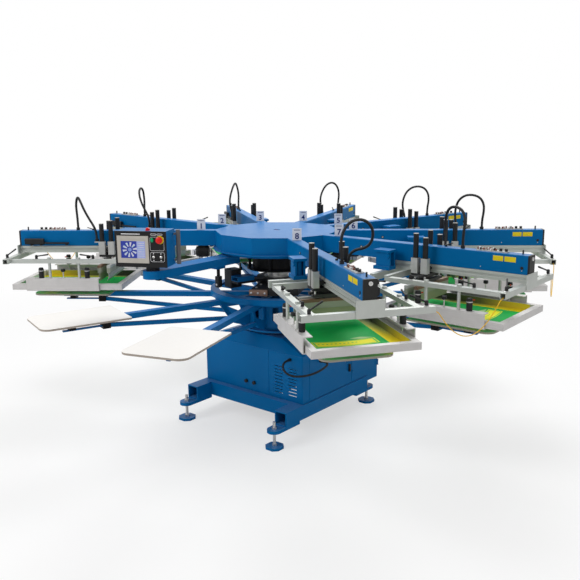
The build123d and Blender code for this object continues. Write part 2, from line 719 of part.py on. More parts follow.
def holder_frame():
    top = rail_bottom()
    x1 = ARM_END + CAP_T
    x0 = x1 - BAR_SIDE
    bar = block(x0, x1, -BAR_HALF, BAR_HALF, top - BAR_SIDE, top)
    bar -= block(x0 + BAR_WALL, x1 - BAR_WALL, -BAR_HALF - 1, BAR_HALF + 1,
                 top - BAR_SIDE + BAR_WALL, top - BAR_WALL)
    plate = block(x1, x1 + FRONT_PLATE_T, -FRONT_PLATE_HALF, FRONT_PLATE_HALF, top - BAR_SIDE, FRONT_PLATE_TOP)
    side_z1 = top - SIDE_BAR_DROP
    side = block(TIE_START + TIE_W, x0, SIDE_BAR_OUT - SIDE_BAR_W, SIDE_BAR_OUT, side_z1 - SIDE_BAR_H, side_z1)
    tie = block(TIE_START, TIE_START + TIE_W, -SIDE_BAR_OUT, SIDE_BAR_OUT, side_z1 - SIDE_BAR_H, top)
    rear = block(REAR_BAR_X, REAR_BAR_X + REAR_BAR_W, -SIDE_BAR_OUT, SIDE_BAR_OUT, top - REAR_BAR_H, top)
    solids = [bar, plate, tie, rear] + both_sides(side)
    post_y = SIDE_BAR_OUT - SIDE_BAR_W / 2
    for x in POST_X:
        post = rod(x, post_y, CHANNEL_TOP, side_z1 - SIDE_BAR_H, POST_R)
        head = rod(x, post_y, side_z1, side_z1 + POST_HEAD_H, POST_HEAD_R)
        solids += both_sides(post) + both_sides(head)
    return solids


def channel_web_y():
    return FRAME_W / 2 + CHANNEL_GAP


def clamp_rail():
    web = channel_web_y()
    outer = web + CHANNEL_T
    z0, z1 = FRAME_BOTTOM - CHANNEL_T, CHANNEL_TOP
    points = [(outer, z0), (outer, z1), (outer - CHANNEL_UPPER_W, z1), (outer - CHANNEL_UPPER_W, z1 - CHANNEL_T),
              (web, z1 - CHANNEL_T), (web, z0 + CHANNEL_T), (outer - CHANNEL_LOWER_W, z0 + CHANNEL_T),
              (outer - CHANNEL_LOWER_W, z0)]
    face = make_face(Polyline(*points, close=True))
    profile = Plane(origin=(CHANNEL_X0, 0, 0), x_dir=(0, 1, 0), z_dir=(1, 0, 0)) * face
    return both_sides(extrude(profile, CHANNEL_X1 - CHANNEL_X0))


def lever(x, y, z, dx, dy, dz):
    hub = Pos(x, y, z) * extrude(RegularPolygon(LEVER_HUB_R, 8), LEVER_HUB_H)
    length = math.sqrt(dx * dx + dy * dy + dz * dz)
    start = (x, y, z + LEVER_HUB_H - LEVER_T / 2 - 1)
    end = tuple(s + LEVER_L * d / length for s, d in zip(start, (dx, dy, dz)))
    return hub + bar_between(start, end, LEVER_T, LEVER_T)


def clamps_and_levers():
    clamp_y = channel_web_y() + CHANNEL_T - CHANNEL_UPPER_W / 2
    frame_top = FRAME_BOTTOM + FRAME_H
    top = rail_bottom()
    bar_x = ARM_END + CAP_T - BAR_SIDE / 2
    side_top = top - SIDE_BAR_DROP
    side_y = SIDE_BAR_OUT - SIDE_BAR_W / 2
    solids = []
    for x in CLAMP_X:
        solids += both_sides(rod(x, clamp_y, CHANNEL_TOP, CHANNEL_TOP + CLAMP_H, CLAMP_R))
        solids += both_sides(rod(x, clamp_y, frame_top, CHANNEL_TOP - CHANNEL_T, CLAMP_FOOT_R))
    solids += both_sides(rod(KNOB_X, clamp_y, CHANNEL_TOP, KNOB_TOP - KNOB_H, KNOB_STUD_R))
    solids += both_sides(rod(KNOB_X, clamp_y, KNOB_TOP - KNOB_H, KNOB_TOP, KNOB_R))
    solids += both_sides(lever(bar_x, BAR_HALF - LEVER_FROM_END, top, -0.5, -0.35, 0.6))
    for x, dx in zip(SIDE_LEVER_X, (1, -1)):
        solids += both_sides(lever(x, side_y, side_top, dx, 0.25, 0.35))
    pivot = (REG_X1 - REG_PIVOT_IN, REG_Y0 - REG_HUB_T / 2, REG_TOP - REG_PIVOT_DROP)
    ball = (REG_X1 + 8, REG_Y0 - 82, REG_TOP - 68)
    hub = Pos(*pivot) * (Rot(90, 0, 0) * Cylinder(LEVER_HUB_R, REG_HUB_T))
    solids.append(hub + bar_between(pivot, ball, LEVER_T, LEVER_T) + Pos(*ball) * Sphere(REG_BALL_R))
    return solids


def screen_frame():
    x0, x1 = FRAME_START, FRAME_START + FRAME_LEN
    y = FRAME_W / 2
    b = FRAME_BAR
    corners = [(x0, -y), (x1, -y), (x1, y), (x0, y)]
    inner = [(x0 + b, -y + b), (x1 - b, -y + b), (x1 - b, y - b), (x0 + b, y - b)]
    bars = []
    for i in range(4):
        j = (i + 1) % 4
        face = make_face(Polyline(corners[i], corners[j], inner[j], inner[i], close=True))
        bars.append(Pos(0, 0, FRAME_BOTTOM) * extrude(face, FRAME_H))
    return bars


def screen_mesh():
    x0, x1 = FRAME_START, FRAME_START + FRAME_LEN
    half = channel_web_y() + CHANNEL_T - CHANNEL_LOWER_W - 1
    return block(x0 + MESH_BORDER, x1 - MESH_BORDER, -half, half, FRAME_BOTTOM - MESH_T, FRAME_BOTTOM)


# ================================================================ registration unit, signs, controls
def registration_unit():
    """A yoke of two cheeks between a foot and a top plate, with an adjusting screw's housing between them."""
    z0 = rail_bottom()
    cheek_top = REG_TOP - REG_TOP_T / 2
    body = block(REG_X0, REG_X1, REG_Y0, REG_Y1, z0, z0 + REG_FOOT_T)
    body += block(REG_X0, REG_X1, REG_Y0, REG_Y1, REG_TOP - REG_TOP_T, REG_TOP)
    for y in (REG_Y0 + REG_WALL, REG_Y1 - 2 * REG_WALL):
        body += block(REG_X0 + REG_CHEEK_IN, REG_X1, y, y + REG_WALL, z0, cheek_top)
    web_x = REG_X0 + REG_WEB_IN
    body += block(web_x, web_x + REG_WALL, REG_Y0 + REG_WALL, REG_Y1 - REG_WALL, z0, cheek_top)
    body += rod(REG_X1 - REG_HOUSING_IN, (REG_Y0 + REG_Y1) / 2, z0, REG_TOP, REG_HOUSING_R)
    boss = Rot(90, 0, 0) * Cylinder(REG_BOSS_R, REG_WALL)
    return body + Pos(REG_X1 - REG_PIVOT_IN, REG_Y0 + REG_WALL / 2, REG_TOP - REG_PIVOT_DROP) * boss


def number_signs():
    sign = block(-SIGN_T, 0, -SIGN_W / 2, SIGN_W / 2, ARM_TOP, ARM_TOP + SIGN_H)
    sign += block(-SIGN_FOOT, 0, -SIGN_W / 4, SIGN_W / 4, ARM_TOP, ARM_TOP + SIGN_T)
    solids = []
    for angle in HEAD_ANGLES:
        a = math.radians(angle)
        place = Pos(SIGN_R * math.cos(a), SIGN_R * math.sin(a), 0)
        solids.append(place * (Rot(0, 0, SIGN_FACING) * sign))
    return solids


def arm_controls():
    """What stands on an arm: the hose's gland, a switch strip, dials, a stop pin, a crank and a spare tool."""
    z = ARM_TOP
    strip_top = z + STRIP_T
    solids = [rod(HOSE_X, 0, z, z + GLAND_H, GLAND_R)]
    solids.append(block(STRIP_X0, STRIP_X1, -STRIP_W / 2, STRIP_W / 2, z, strip_top))
    for x in SWITCH_X:
        solids.append(block(x - SWITCH_L / 2, x + SWITCH_L / 2, -SWITCH_W / 2, SWITCH_W / 2,
                            strip_top, strip_top + SWITCH_H))
    for x in DIAL_X:
        solids.append(rod(x, 0, strip_top, strip_top + DIAL_H, DIAL_R))
    solids.append(rod(STOP_PIN_X, 0, z, z + STOP_PIN_H, STOP_PIN_R))
    crank_z = z + CRANK_HUB_H
    crank = rod(CRANK_X, CRANK_HUB_R, z, crank_z, CRANK_HUB_R)
    crank += bar_between((CRANK_X, CRANK_HUB_R, crank_z - 3), (CRANK_X + CRANK_REACH, 30, crank_z + 12), 7, 6)
    solids.append(crank)
    side = ARM_W / 2
    for x, plug_z in PLUG_PLACES:
        plug = Pos(x, side + PLUG_T / 2, plug_z) * (Rot(90, 0, 0) * Cylinder(PLUG_R, PLUG_T))
        solids += both_sides(plug)
    return solids + spare_tool(side)


def spare_tool(side):
    """A long-nosed tool that lies on two rests and a hook on the side of the arm."""
    grip = block(GRIP_X0, GRIP_X1, side + GRIP_OUT, side + GRIP_OUT + GRIP_W, GRIP_Z, GRIP_Z + GRIP_H)
    grip = fillet(grip.edges().filter_by(Axis.X), GRIP_W / 3)
    middle = side + GRIP_OUT + GRIP_W / 2
    half = TOOL_STEM_SIDE / 2
    stem_z = GRIP_Z + 4
    stem = block(TOOL_STEM_X, GRIP_X0, middle - half, middle + half, stem_z, stem_z + TOOL_STEM_SIDE)
    rests = [block(x - REST_T / 2, x + REST_T / 2, side, middle + GRIP_W / 2, GRIP_Z - 8, GRIP_Z)
             for x in REST_X]
    hook = block(HOOK_X - REST_T / 2, HOOK_X + REST_T / 2, side, middle + half + 3, GRIP_Z - 4, stem_z)
    return [grip + stem] + rests + [hook]


# ================================================================ carriage
def carriage():
    """A bridge plate under the rail, four bored risers, slide shoes in the rail's grooves and the cylinders."""
    plate_z = BRIDGE_TOP - BRIDGE_T
    x_lo = CARRIAGE_X[0] - BLOCK_L / 2
    x_hi = CARRIAGE_X[1] + BLOCK_L / 2
    y_in, y_out = CARRIAGE_Y - BLOCK_W / 2, CARRIAGE_Y + BLOCK_W / 2
    bores = []
    for x in CARRIAGE_X:
        bores += both_sides(rod(x, CARRIAGE_Y, plate_z - 1, ROD_TOP + 6, ROD_R + RUNNING_GAP))
    plate = block(x_lo, x_hi, -y_out, y_out, plate_z, BRIDGE_TOP)
    for bore in bores:
        plate -= bore
    solids = [plate]
    for x, top in zip(CARRIAGE_X, CYL_TOP):
        riser = block(x - BLOCK_L / 2, x + BLOCK_L / 2, y_in, y_out, BRIDGE_TOP, BLOCK_TOP)
        riser -= rod(x, CARRIAGE_Y, plate_z - 1, ROD_TOP + 6, ROD_R + RUNNING_GAP)
        solids += both_sides(riser)
        solids += both_sides(rod(x, CARRIAGE_Y, BLOCK_TOP, top, CYL_R))
    rail_side = STROKE_RAIL_W / 2
    groove_z = rail_bottom() + STROKE_RAIL_H / 2
    shoe = block(x_lo + 6, x_hi - 6, rail_side + 4, y_in, groove_z - SHOE_H, groove_z + SHOE_H)
    shoe += block(x_lo + 6, x_hi - 6, rail_side - GROOVE_D + RUNNING_GAP, rail_side + 4,
                  groove_z - SHOE_H / 2, groove_z + SHOE_H / 2)
    solids += both_sides(shoe)
    gland_x = x_hi + HOSE_SEAT
    bracket = block(x_hi, gland_x + 14, CARRIAGE_Y - 14, CARRIAGE_Y + 14, BLOCK_TOP - 8, BLOCK_TOP)
    bracket += rod(gland_x, CARRIAGE_Y, BLOCK_TOP, BLOCK_TOP + GLAND_H, GLAND_R)
    return solids + [bracket]


def print_bar(x, is_squeegee):
    rods = both_sides(rod(x, CARRIAGE_Y, YOKE_TOP, ROD_TOP, ROD_R))
    yoke = block(x - YOKE_L / 2, x + YOKE_L / 2, -CARRIAGE_Y - 18, CARRIAGE_Y + 18, YOKE_TOP - YOKE_T, YOKE_TOP)
    neck = block(x - 8, x + 8, -40, 40, HOLDER_TOP, YOKE_TOP - YOKE_T)
    holder = block(x - HOLDER_T / 2, x + HOLDER_T / 2, -BLADE_HALF, BLADE_HALF, HOLDER_BOTTOM, HOLDER_TOP)
    slot_t = BLADE_T if is_squeegee else FLOOD_T
    slot_top = HOLDER_BOTTOM + SLOT_DEPTH
    holder -= block(x - slot_t / 2, x + slot_t / 2, -BLADE_HALF - 1, BLADE_HALF + 1, HOLDER_BOTTOM - 1, slot_top)
    if is_squeegee:
        blade = block(x - BLADE_T / 2, x + BLADE_T / 2, -BLADE_HALF, BLADE_HALF, BLADE_BOTTOM, slot_top)
    else:
        points = [(x - FLOOD_T / 2, slot_top), (x + FLOOD_T / 2, slot_top),
                  (x + FLOOD_T / 2, BLADE_BOTTOM + 22), (x + 14, BLADE_BOTTOM + 2), (x + 11, BLADE_BOTTOM),
                  (x - FLOOD_T / 2, BLADE_BOTTOM + 20)]
        face = make_face(Polyline(*points, close=True))
        profile = Plane(origin=(0, -BLADE_HALF, 0), x_dir=(1, 0, 0), z_dir=(0, -1, 0)) * face
        blade = extrude(profile, -2 * BLADE_HALF)
    return rods + [yoke, neck, holder, blade]


# ================================================================ carousel
def tube_top():
    return PALLET_TOP - PALLET_T - TUBE_DROP


def carousel_hub():
    z0 = BEARING_TOP
    z1 = tube_top() - TUBE_H
    bore = COLUMN_R + 2 * RUNNING_GAP + SLEEVE_WALL
    hub = ring(0, 0, z0, tube_top(), bore + 18, bore)
    flange = ring(0, 0, z0, z0 + DRUM_FLANGE_T, DRUM_FLANGE_R, bore + 18)
    drum = ring(0, 0, z0 + DRUM_FLANGE_T, z1, DRUM_R, DRUM_R - DRUM_WALL)
    for a in PALLET_ANGLES:
        drum -= Rot(0, 0, a + STEP_ANGLE / 2) * block(DRUM_R - 20, DRUM_R + 20, -22, 22, z1 - 130, z1 - 34)
    deck = ring(0, 0, z1 - 8, z1, DRUM_R - DRUM_WALL, bore + 18)
    rim = ring(0, 0, tube_top(), tube_top() + RIM_H, RIM_R, RIM_R - RIM_WIDTH)
    rim -= ring(0, 0, tube_top() - 1, tube_top() + RIM_H - RIM_T, RIM_R - RIM_T, RIM_R - RIM_WIDTH - 1)
    foot, shoulder = gusset_edge()
    gusset = [(DRUM_R, z1), (GUSSET_OUT, z1), shoulder, foot, (DRUM_R, z0 + DRUM_FLANGE_T + 4)]
    window = [(DRUM_R + 40, z1 - 22), (GUSSET_OUT - 50, z1 - 22), (GUSSET_LOW_X + 26, GUSSET_LOW_Z + 44),
              (DRUM_R + 40, GUSSET_LOW_Z - 2)]
    plate = polygon_prism(gusset, Plane.XZ, GUSSET_T / 2)
    plate -= polygon_prism(window, Plane.XZ, GUSSET_T)
    return [hub, flange, drum, deck, rim] + turned([plate], PALLET_ANGLES)


def gusset_edge():
    """The sloped outer edge of a gusset, from its foot to its shoulder, as (r, z)."""
    return (GUSSET_LOW_X, GUSSET_LOW_Z - 34), (GUSSET_LOW_X + 62, GUSSET_LOW_Z + 42)


def lower_tube(width):
    return bar_between((LOWER_IN_X, 0, LOWER_IN_Z), (LOWER_OUT_X, 0, LOWER_OUT_Z), width, width)


def pallet_arm():
    z1 = tube_top()
    bore = COLUMN_R + 2 * RUNNING_GAP + SLEEVE_WALL
    x0 = bore + 18
    upper = block(x0 + 40, TUBE_END, -TUBE_W / 2, TUBE_W / 2, z1 - TUBE_H, z1)
    upper -= block(x0 + 39, TUBE_END + 1, -TUBE_W / 2 + TUBE_WALL, TUBE_W / 2 - TUBE_WALL,
                   z1 - TUBE_H + TUBE_WALL, z1 - TUBE_WALL)
    foot, shoulder = gusset_edge()
    inboard = [foot, shoulder, (foot[0] - 90, shoulder[1] + 1), (foot[0] - 90, foot[1] - 1)]
    lower = lower_tube(LOWER_W) - polygon_prism(inboard, Plane.XZ, LOWER_W)
    strap = block(BRACKET_X1, STRAP_END, -LOWER_W / 2, LOWER_W / 2, LOWER_OUT_Z - STRAP_T / 2,
                  LOWER_OUT_Z + STRAP_T / 2)
    return [upper, lower, strap]


def pallet_bracket():
    z1 = tube_top()
    w = TUBE_W / 2
    solids = []
    for x0, x1, z0 in ((BRACKET_X0, BRACKET_X1, LOWER_OUT_Z - LOWER_W / 2 - 4),
                       (TUBE_END - 90, TUBE_END - 50, LOWER_OUT_Z + STRAP_T / 2)):
        saddle = block(x0, x1, -w - BRACKET_WALL, w + BRACKET_WALL, z0, z1 + TUBE_DROP)
        saddle -= block(x0 - 1, x1 + 1, -w - SEAT_GAP, w + SEAT_GAP, z1 - TUBE_H, z1 + SEAT_GAP)
        solids.append(saddle - lower_tube(LOWER_W + 2 * SEAT_GAP))
    return solids


def pallet():
    x0, x1 = PALLET_IN, PALLET_IN + PALLET_LEN
    z0 = PALLET_TOP - PALLET_T
    board = block(x0, x1, -PALLET_W / 2, PALLET_W / 2, z0, PALLET_TOP)
    corners = board.edges().filter_by(Axis.Z).sort_by(Axis.X)
    board = fillet(corners[2:], PALLET_OUTER_R)
    corners = board.edges().filter_by(Axis.Z).sort_by(Axis.X)
    return fillet(corners[:2], PALLET_INNER_R)


# ================================================================ control panel
def panel_arm():
    x, y1 = PANEL_AXIS
    z1 = HUB_BOTTOM - 8
    z0 = z1 - PANEL_ARM_H
    half = PANEL_ARM_W / 2
    arm = block(x - half, x + half, y1, ARM_IN_Y, z0, z1) + rod(x, y1, z0, z1, half)
    boss = rod(x, ARM_IN_Y - 60, z1, HUB_BOTTOM, half - 8)
    return [arm, boss]


def panel_place():
    return Pos(PANEL_AXIS[0], PANEL_AXIS[1], 0) * Rot(0, 0, BOX_FACE_ANGLE)


def panel_enclosure():
    z0 = HUB_BOTTOM - 8 + SEAT_GAP
    z1 = z0 + BOSS_H
    collar = rod(PANEL_AXIS[0], PANEL_AXIS[1], z0, z1, BOSS_R)
    back = BOX_FRONT - BOX_D
    box = block(back, BOX_FRONT - PLATE_T, BOX_LEFT, BOX_LEFT + BOX_W, z1, z1 + BOX_H)
    box -= block(back + BOX_WALL, BOX_FRONT, BOX_LEFT + BOX_WALL, BOX_LEFT + BOX_W - BOX_WALL,
                 z1 + BOX_WALL, z1 + BOX_H - BOX_WALL)
    plate = block(BOX_FRONT - PLATE_T, BOX_FRONT, BOX_LEFT - 3, BOX_LEFT + BOX_W + 3, z1, z1 + BOX_H)
    for y, radius in ((ESTOP_Y, ESTOP_R), (START_Y, START_R)):
        plate -= Pos(BOX_FRONT, y, z1 + BUTTON_Z) * (Rot(0, 90, 0) * Cylinder(STEM * radius + SEAT_GAP,
                                                                              2 * STEM_BORE))
    bezel_y, bezel_z = BOX_LEFT + BEZEL_IN, z1 + BEZEL_UP
    bezel = block(BOX_FRONT, BOX_FRONT + BEZEL_T, bezel_y, bezel_y + BEZEL_W, bezel_z, bezel_z + BEZEL_H)
    bezel -= block(BOX_FRONT + BEZEL_T / 2, BOX_FRONT + BEZEL_T + 1, bezel_y + BEZEL_EDGE,
                   bezel_y + BEZEL_W - BEZEL_EDGE, bezel_z + BEZEL_SILL, bezel_z + BEZEL_H - BEZEL_EDGE)
    rail_y = BOX_LEFT + BOX_W + 34
    handle = rod(back + 30, rail_y, z1 + 4, z1 + BOX_H - 4, HANDLE_R)
    arms = [block(back + 24, back + 36, BOX_LEFT + BOX_W, rail_y - HANDLE_R + 2, z - 6, z + 6)
            for z in (z1 + 30, z1 + BOX_H - 30)]
    for stub in arms:
        handle += stub
    place = panel_place()
    return [collar, place * box, place * plate, place * bezel, place * handle]


def panel_button(y, z, radius, thick, push):
    z1 = HUB_BOTTOM - 8 + SEAT_GAP + BOSS_H
    x0 = BOX_FRONT + push + BUTTON_GAP
    stem_end = BOX_FRONT - 1
    stem = Pos((x0 + stem_end) / 2, y, z1 + z) * (Rot(0, 90, 0) * Cylinder(STEM * radius, x0 - stem_end))
    head = Pos(x0 + thick / 2, y, z1 + z) * (Rot(0, 90, 0) * Cylinder(radius, thick))
    return [panel_place() * (head + stem)]


# ================================================================ cords
def cord_tube(points, diameter, label):
    """A round tube of straight runs and tangent arcs through the given corners."""
    vectors = [Vector(*p) for p in points]
    radii = []
    for a, b, c in zip(vectors, vectors[1:], vectors[2:]):
        turn = math.radians((b - a).get_angle(c - b))
        run = min((b - a).length, (c - b).length)
        radii.append(0.45 * run / math.tan(turn / 2))
    path = FilletPolyline(*points, radius=radii)
    start = Plane(origin=points[0], z_dir=vectors[1] - vectors[0])
    tube = sweep(start * Circle(diameter / 2), path=path)
    expected = math.pi * diameter ** 2 / 4 * path.length
    print(f"{label}: length {path.length:.0f}, radii {[round(r) for r in radii]}, "
          f"volume/expected {tube.volume / expected:.4f}")
    return tube


# ================================================================ export
print(f"axis at y {AXIS_Y:.4f}")
studs, pads = feet()
save("base_frame", base_frame())
save("levelling_studs", studs)
save("levelling_pads", pads)
save("cabinet_shell", cabinet_shell())
save("cabinet_panels", cabinet_panels())
save("electrical_box", electrical_box())
save("cabinet_door", cabinet_door())
save("glands_and_latch", glands())
save("centre_column", centre_column())
save("lift_cylinders", lift_cylinders())
save("lift_sleeve", lift_sleeve())
save("index_drive", index_drive())
save("column_shroud", column_shroud())
save("upper_hub", upper_hub())
save("head_arms", turned([head_arm()], HEAD_ANGLES))
save("arm_end_caps", turned(arm_end_cap(), HEAD_ANGLES))
save("stroke_rails", turned([stroke_rail()], HEAD_ANGLES))
save("holder_frames", turned(holder_frame(), HEAD_ANGLES))
save("clamp_rails", turned(clamp_rail(), HEAD_ANGLES))
save("clamps_and_levers", turned(clamps_and_levers(), HEAD_ANGLES))
save("screen_frames", turned(screen_frame(), HEAD_ANGLES))
save("screen_meshes", turned([screen_mesh()], HEAD_ANGLES))
save("registration_units", turned([registration_unit()], HEAD_ANGLES))
save("number_signs", number_signs())
save("arm_controls", turned(arm_controls(), HEAD_ANGLES))
carriage_solids = carriage()
squeegee_solids = print_bar(CARRIAGE_X[1], True)
flood_solids = print_bar(CARRIAGE_X[0], False)
for number, angle in enumerate(HEAD_ANGLES, start=1):
    save(f"carriage_{number}", turned(carriage_solids, [angle]))
    save(f"squeegee_{number}", turned(squeegee_solids, [angle]))
    save(f"flood_bar_{number}", turned(flood_solids, [angle]))
save("carousel_hub", carousel_hub())
save("pallet_arms", turned(pallet_arm(), PALLET_ANGLES))
save("pallet_brackets", turned(pallet_bracket(), PALLET_ANGLES))
save("pallets", turned([pallet()], PALLET_ANGLES))
save("panel_arm", panel_arm())
save("panel_enclosure", panel_enclosure())
save("estop_button", panel_button(ESTOP_Y, BUTTON_Z, ESTOP_R, ESTOP_T, ESTOP_PUSH))
save("start_button", panel_button(START_Y, BUTTON_Z, START_R, START_T, START_PUSH))
hoses = []
for route, angle in zip(HEAD_HOSES, HEAD_ANGLES):
    hoses += turned([cord_tube(route, CARRIAGE_HOSE_D, "carriage hose")], [angle])
save("carriage_hoses", hoses)
save("safety_cords", turned([cord_tube(SAFETY_CORD, CORD_D, "safety cord")], HEAD_ANGLES[1:]))
save("cabinet_hose", [cord_tube(CABINET_HOSE, CABINET_HOSE_D, "cabinet hose")])
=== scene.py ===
# %% [markdown]
# # An automatic rotary screen printing press
# Eight print heads stand over a carousel of ten pallets. The frame, with every solid and every joint,
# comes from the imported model, and this script dresses it: materials for what is already there, and new
# pieces for what a plain solid can't show, such as hoses, cords, buttons, labels and fittings.

# %% Load the frame
import bpy
import json
import math
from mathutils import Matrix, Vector


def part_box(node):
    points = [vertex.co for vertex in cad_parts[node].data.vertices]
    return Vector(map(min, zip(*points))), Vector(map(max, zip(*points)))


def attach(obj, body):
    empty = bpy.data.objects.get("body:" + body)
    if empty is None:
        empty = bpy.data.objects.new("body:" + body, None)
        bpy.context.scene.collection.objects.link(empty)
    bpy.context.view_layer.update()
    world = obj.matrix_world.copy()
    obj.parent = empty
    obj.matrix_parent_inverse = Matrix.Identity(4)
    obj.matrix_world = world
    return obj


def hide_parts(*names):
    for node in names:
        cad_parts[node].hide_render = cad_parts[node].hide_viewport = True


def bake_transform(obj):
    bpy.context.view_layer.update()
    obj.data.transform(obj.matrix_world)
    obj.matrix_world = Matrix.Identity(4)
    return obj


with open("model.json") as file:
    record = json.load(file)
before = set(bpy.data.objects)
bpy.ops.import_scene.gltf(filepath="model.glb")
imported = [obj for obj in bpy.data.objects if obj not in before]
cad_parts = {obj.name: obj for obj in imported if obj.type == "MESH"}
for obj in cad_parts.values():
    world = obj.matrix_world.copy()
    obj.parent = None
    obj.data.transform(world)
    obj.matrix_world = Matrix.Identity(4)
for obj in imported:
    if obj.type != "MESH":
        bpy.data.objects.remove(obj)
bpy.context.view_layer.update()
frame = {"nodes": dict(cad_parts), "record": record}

# %% [markdown]
# The carousel's axis stands a little in front of the model's origin. Every head is the same, turned by a
# multiple of 36 degrees, so a place on a head is given as r outward from that axis, s to its left and z
# up.

# %% Stations
MM = 0.001
STEP_ANGLE = 36.0
HEAD_ANGLES = [216.0 - STEP_ANGLE * i for i in range(8)]
joints = {joint["name"]: joint for joint in frame["record"]["behaviour"]["joints"]}
AXIS_Y = joints["carousel_turn"]["pos_m"][1]
ROOT = "press_frame"


def at_head(angle, r, s, z):
    """A place on the head at that angle, r out, s to the left and z up in mm, as metres in the frame."""
    a = math.radians(angle)
    place = Vector((r * math.cos(a) - s * math.sin(a), r * math.sin(a) + s * math.cos(a), z))
    return place * MM + Vector((0, AXIS_Y, 0))


print("axis at y", AXIS_Y, "and", len(HEAD_ANGLES), "heads")

# %% [markdown]
# The camera looks down a little on the press from the front right, so that the panel, the two free
# pallets and the nearest head all show. Its lens is a normal one, far enough away to keep the arms' sizes
# alike.

# %% Camera
CAMERA_PLACE = (3.4456, -4.0629 + AXIS_Y, 2.0898)
CAMERA_TURN = (77.729, 0.541, 39.206)
camera_data = bpy.data.cameras.new("camera")
camera_data.sensor_width = 36.0
camera_data.lens = 45.887
camera = bpy.data.objects.new("camera", camera_data)
camera.location = CAMERA_PLACE
camera.rotation_euler = [math.radians(v) for v in CAMERA_TURN]
bpy.context.scene.collection.objects.link(camera)
bpy.context.scene.camera = camera
print("camera at", CAMERA_PLACE)

# %% [markdown]
# Shader maths reads best as ordinary expressions. One small class holds an output socket, and its
# operators add the Math nodes, so that 1 - mask or r * 2 + 0.5 can be written as they are thought.


# %% A socket that can be calculated with
class Wire:
    def __init__(self, paint, socket):
        self.paint = paint
        self.socket = socket

    def maths(self, operation, first, second=None):
        inputs = {0: first} if second is None else {0: first, 1: second}
        return self.paint.node("ShaderNodeMath", {"operation": operation}, inputs)

    def __add__(self, other):
        return self.maths("ADD", self, other)

    def __sub__(self, other):
        return self.maths("SUBTRACT", self, other)

    def __mul__(self, other):
        return self.maths("MULTIPLY", self, other)

    def __truediv__(self, other):
        return self.maths("DIVIDE", self, other)

    def __radd__(self, other):
        return self.maths("ADD", other, self)

    def __rsub__(self, other):
        return self.maths("SUBTRACT", other, self)

    def __gt__(self, other):
        return self.maths("GREATER_THAN", self, other)

    def __lt__(self, other):
        return self.maths("LESS_THAN", self, other)

    def __and__(self, other):
        return self.maths("MULTIPLY", self, other)

    def __or__(self, other):
        return self.maths("MAXIMUM", self, other)

    def __abs__(self):
        return self.maths("ABSOLUTE", self)

    def do(self, operation, other=None):
        return self.maths(operation, self, other)


def between(wire, low, high):
    """1 where the wire lies between the two values, and 0 elsewhere."""
    return (wire > low) & (wire < high)


class Paint:
    """A material and its node tree, with one method that adds any node."""

    def __init__(self, name):
        self.material = bpy.data.materials.new(name)
        self.material.use_nodes = True
        self.tree = self.material.node_tree
        self.shader = next(n for n in self.tree.nodes if n.type == "BSDF_PRINCIPLED")

    def feed(self, socket, value):
        if isinstance(value, Wire):
            self.tree.links.new(value.socket, socket)
        elif isinstance(value, (tuple, list)) and len(value) == 3 and socket.type == "RGBA":
            socket.default_value = (*value, 1.0)
        else:
            socket.default_value = value

    def node(self, kind, settings=None, inputs=None, output=0):
        made = self.tree.nodes.new(kind)
        for name, value in (settings or {}).items():
            if name == "stops":
                ramp = made.color_ramp
                while len(ramp.elements) < len(value):
                    ramp.elements.new(0.5)
                for element, (place, colour) in zip(ramp.elements, value):
                    element.position = place
                    element.color = (*colour, 1.0)
            else:
                setattr(made, name, value)
        for name, value in (inputs or {}).items():
            self.feed(made.inputs[name], value)
        return Wire(self, made.outputs[output])

    def set(self, **values):
        for name, value in values.items():
            self.feed(self.shader.inputs[name.replace("_", " ")], value)
        return self

    def point(self):
        return self.node("ShaderNodeTexCoord", output="Object")

    def place(self):
        """The point's own place in the frame, as x, y and z wires in metres."""
        point = self.point()
        return [self.node("ShaderNodeSeparateXYZ", inputs={0: point}, output=i) for i in range(3)]

    def up(self):
        """How far the surface faces up: 1 on a top face, 0 on a side, -1 underneath."""
        normal = self.node("ShaderNodeNewGeometry", output="Normal")
        return self.node("ShaderNodeSeparateXYZ", inputs={0: normal}, output=2)

    def head_place(self):
        """r, s and z in metres on the station that the point is nearest to."""
        x, y, z = self.place()
        y = y - AXIS_Y
        step = math.radians(STEP_ANGLE)
        turn = (y.do("ARCTAN2", x) / step).do("ROUND") * step
        c, s = turn.do("COSINE"), turn.do("SINE")
        return x * c + y * s, y * c - x * s, z

    def turned_place(self, centre, turn):
        """out, along and z in metres from a centre in plan, on axes that are turned by an angle."""
        x, y, z = self.place()
        x, y = x - centre[0], y - centre[1]
        c, s = math.cos(turn), math.sin(turn)
        return x * c + y * s, y * c - x * s, z

    def vector(self, x, y, z):
        return self.node("ShaderNodeCombineXYZ", inputs={0: x, 1: y, 2: z})

    def noise(self, scale, detail=3.0, vector=None, rough=0.5):
        inputs = {"Vector": vector or self.point(), "Scale": scale, "Detail": detail, "Roughness": rough}
        return self.node("ShaderNodeTexNoise", inputs=inputs)

    def mix(self, factor, first, second):
        return self.node("ShaderNodeMix", {"data_type": "RGBA"}, {0: factor, 6: first, 7: second}, output=2)

    def ramp(self, factor, stops):
        return self.node("ShaderNodeValToRGB", {"stops": stops}, {0: factor})

    def bump(self, height, strength, distance):
        inputs = {"Height": height, "Strength": strength, "Distance": distance}
        return self.node("ShaderNodeBump", inputs=inputs)

    def grain(self, scale, strength):
        """A fine skin, which is a quick noise that only bends the light."""
        return self.bump(self.noise(scale, detail=1.0), strength, 0.0003)


print("shader helpers ready")
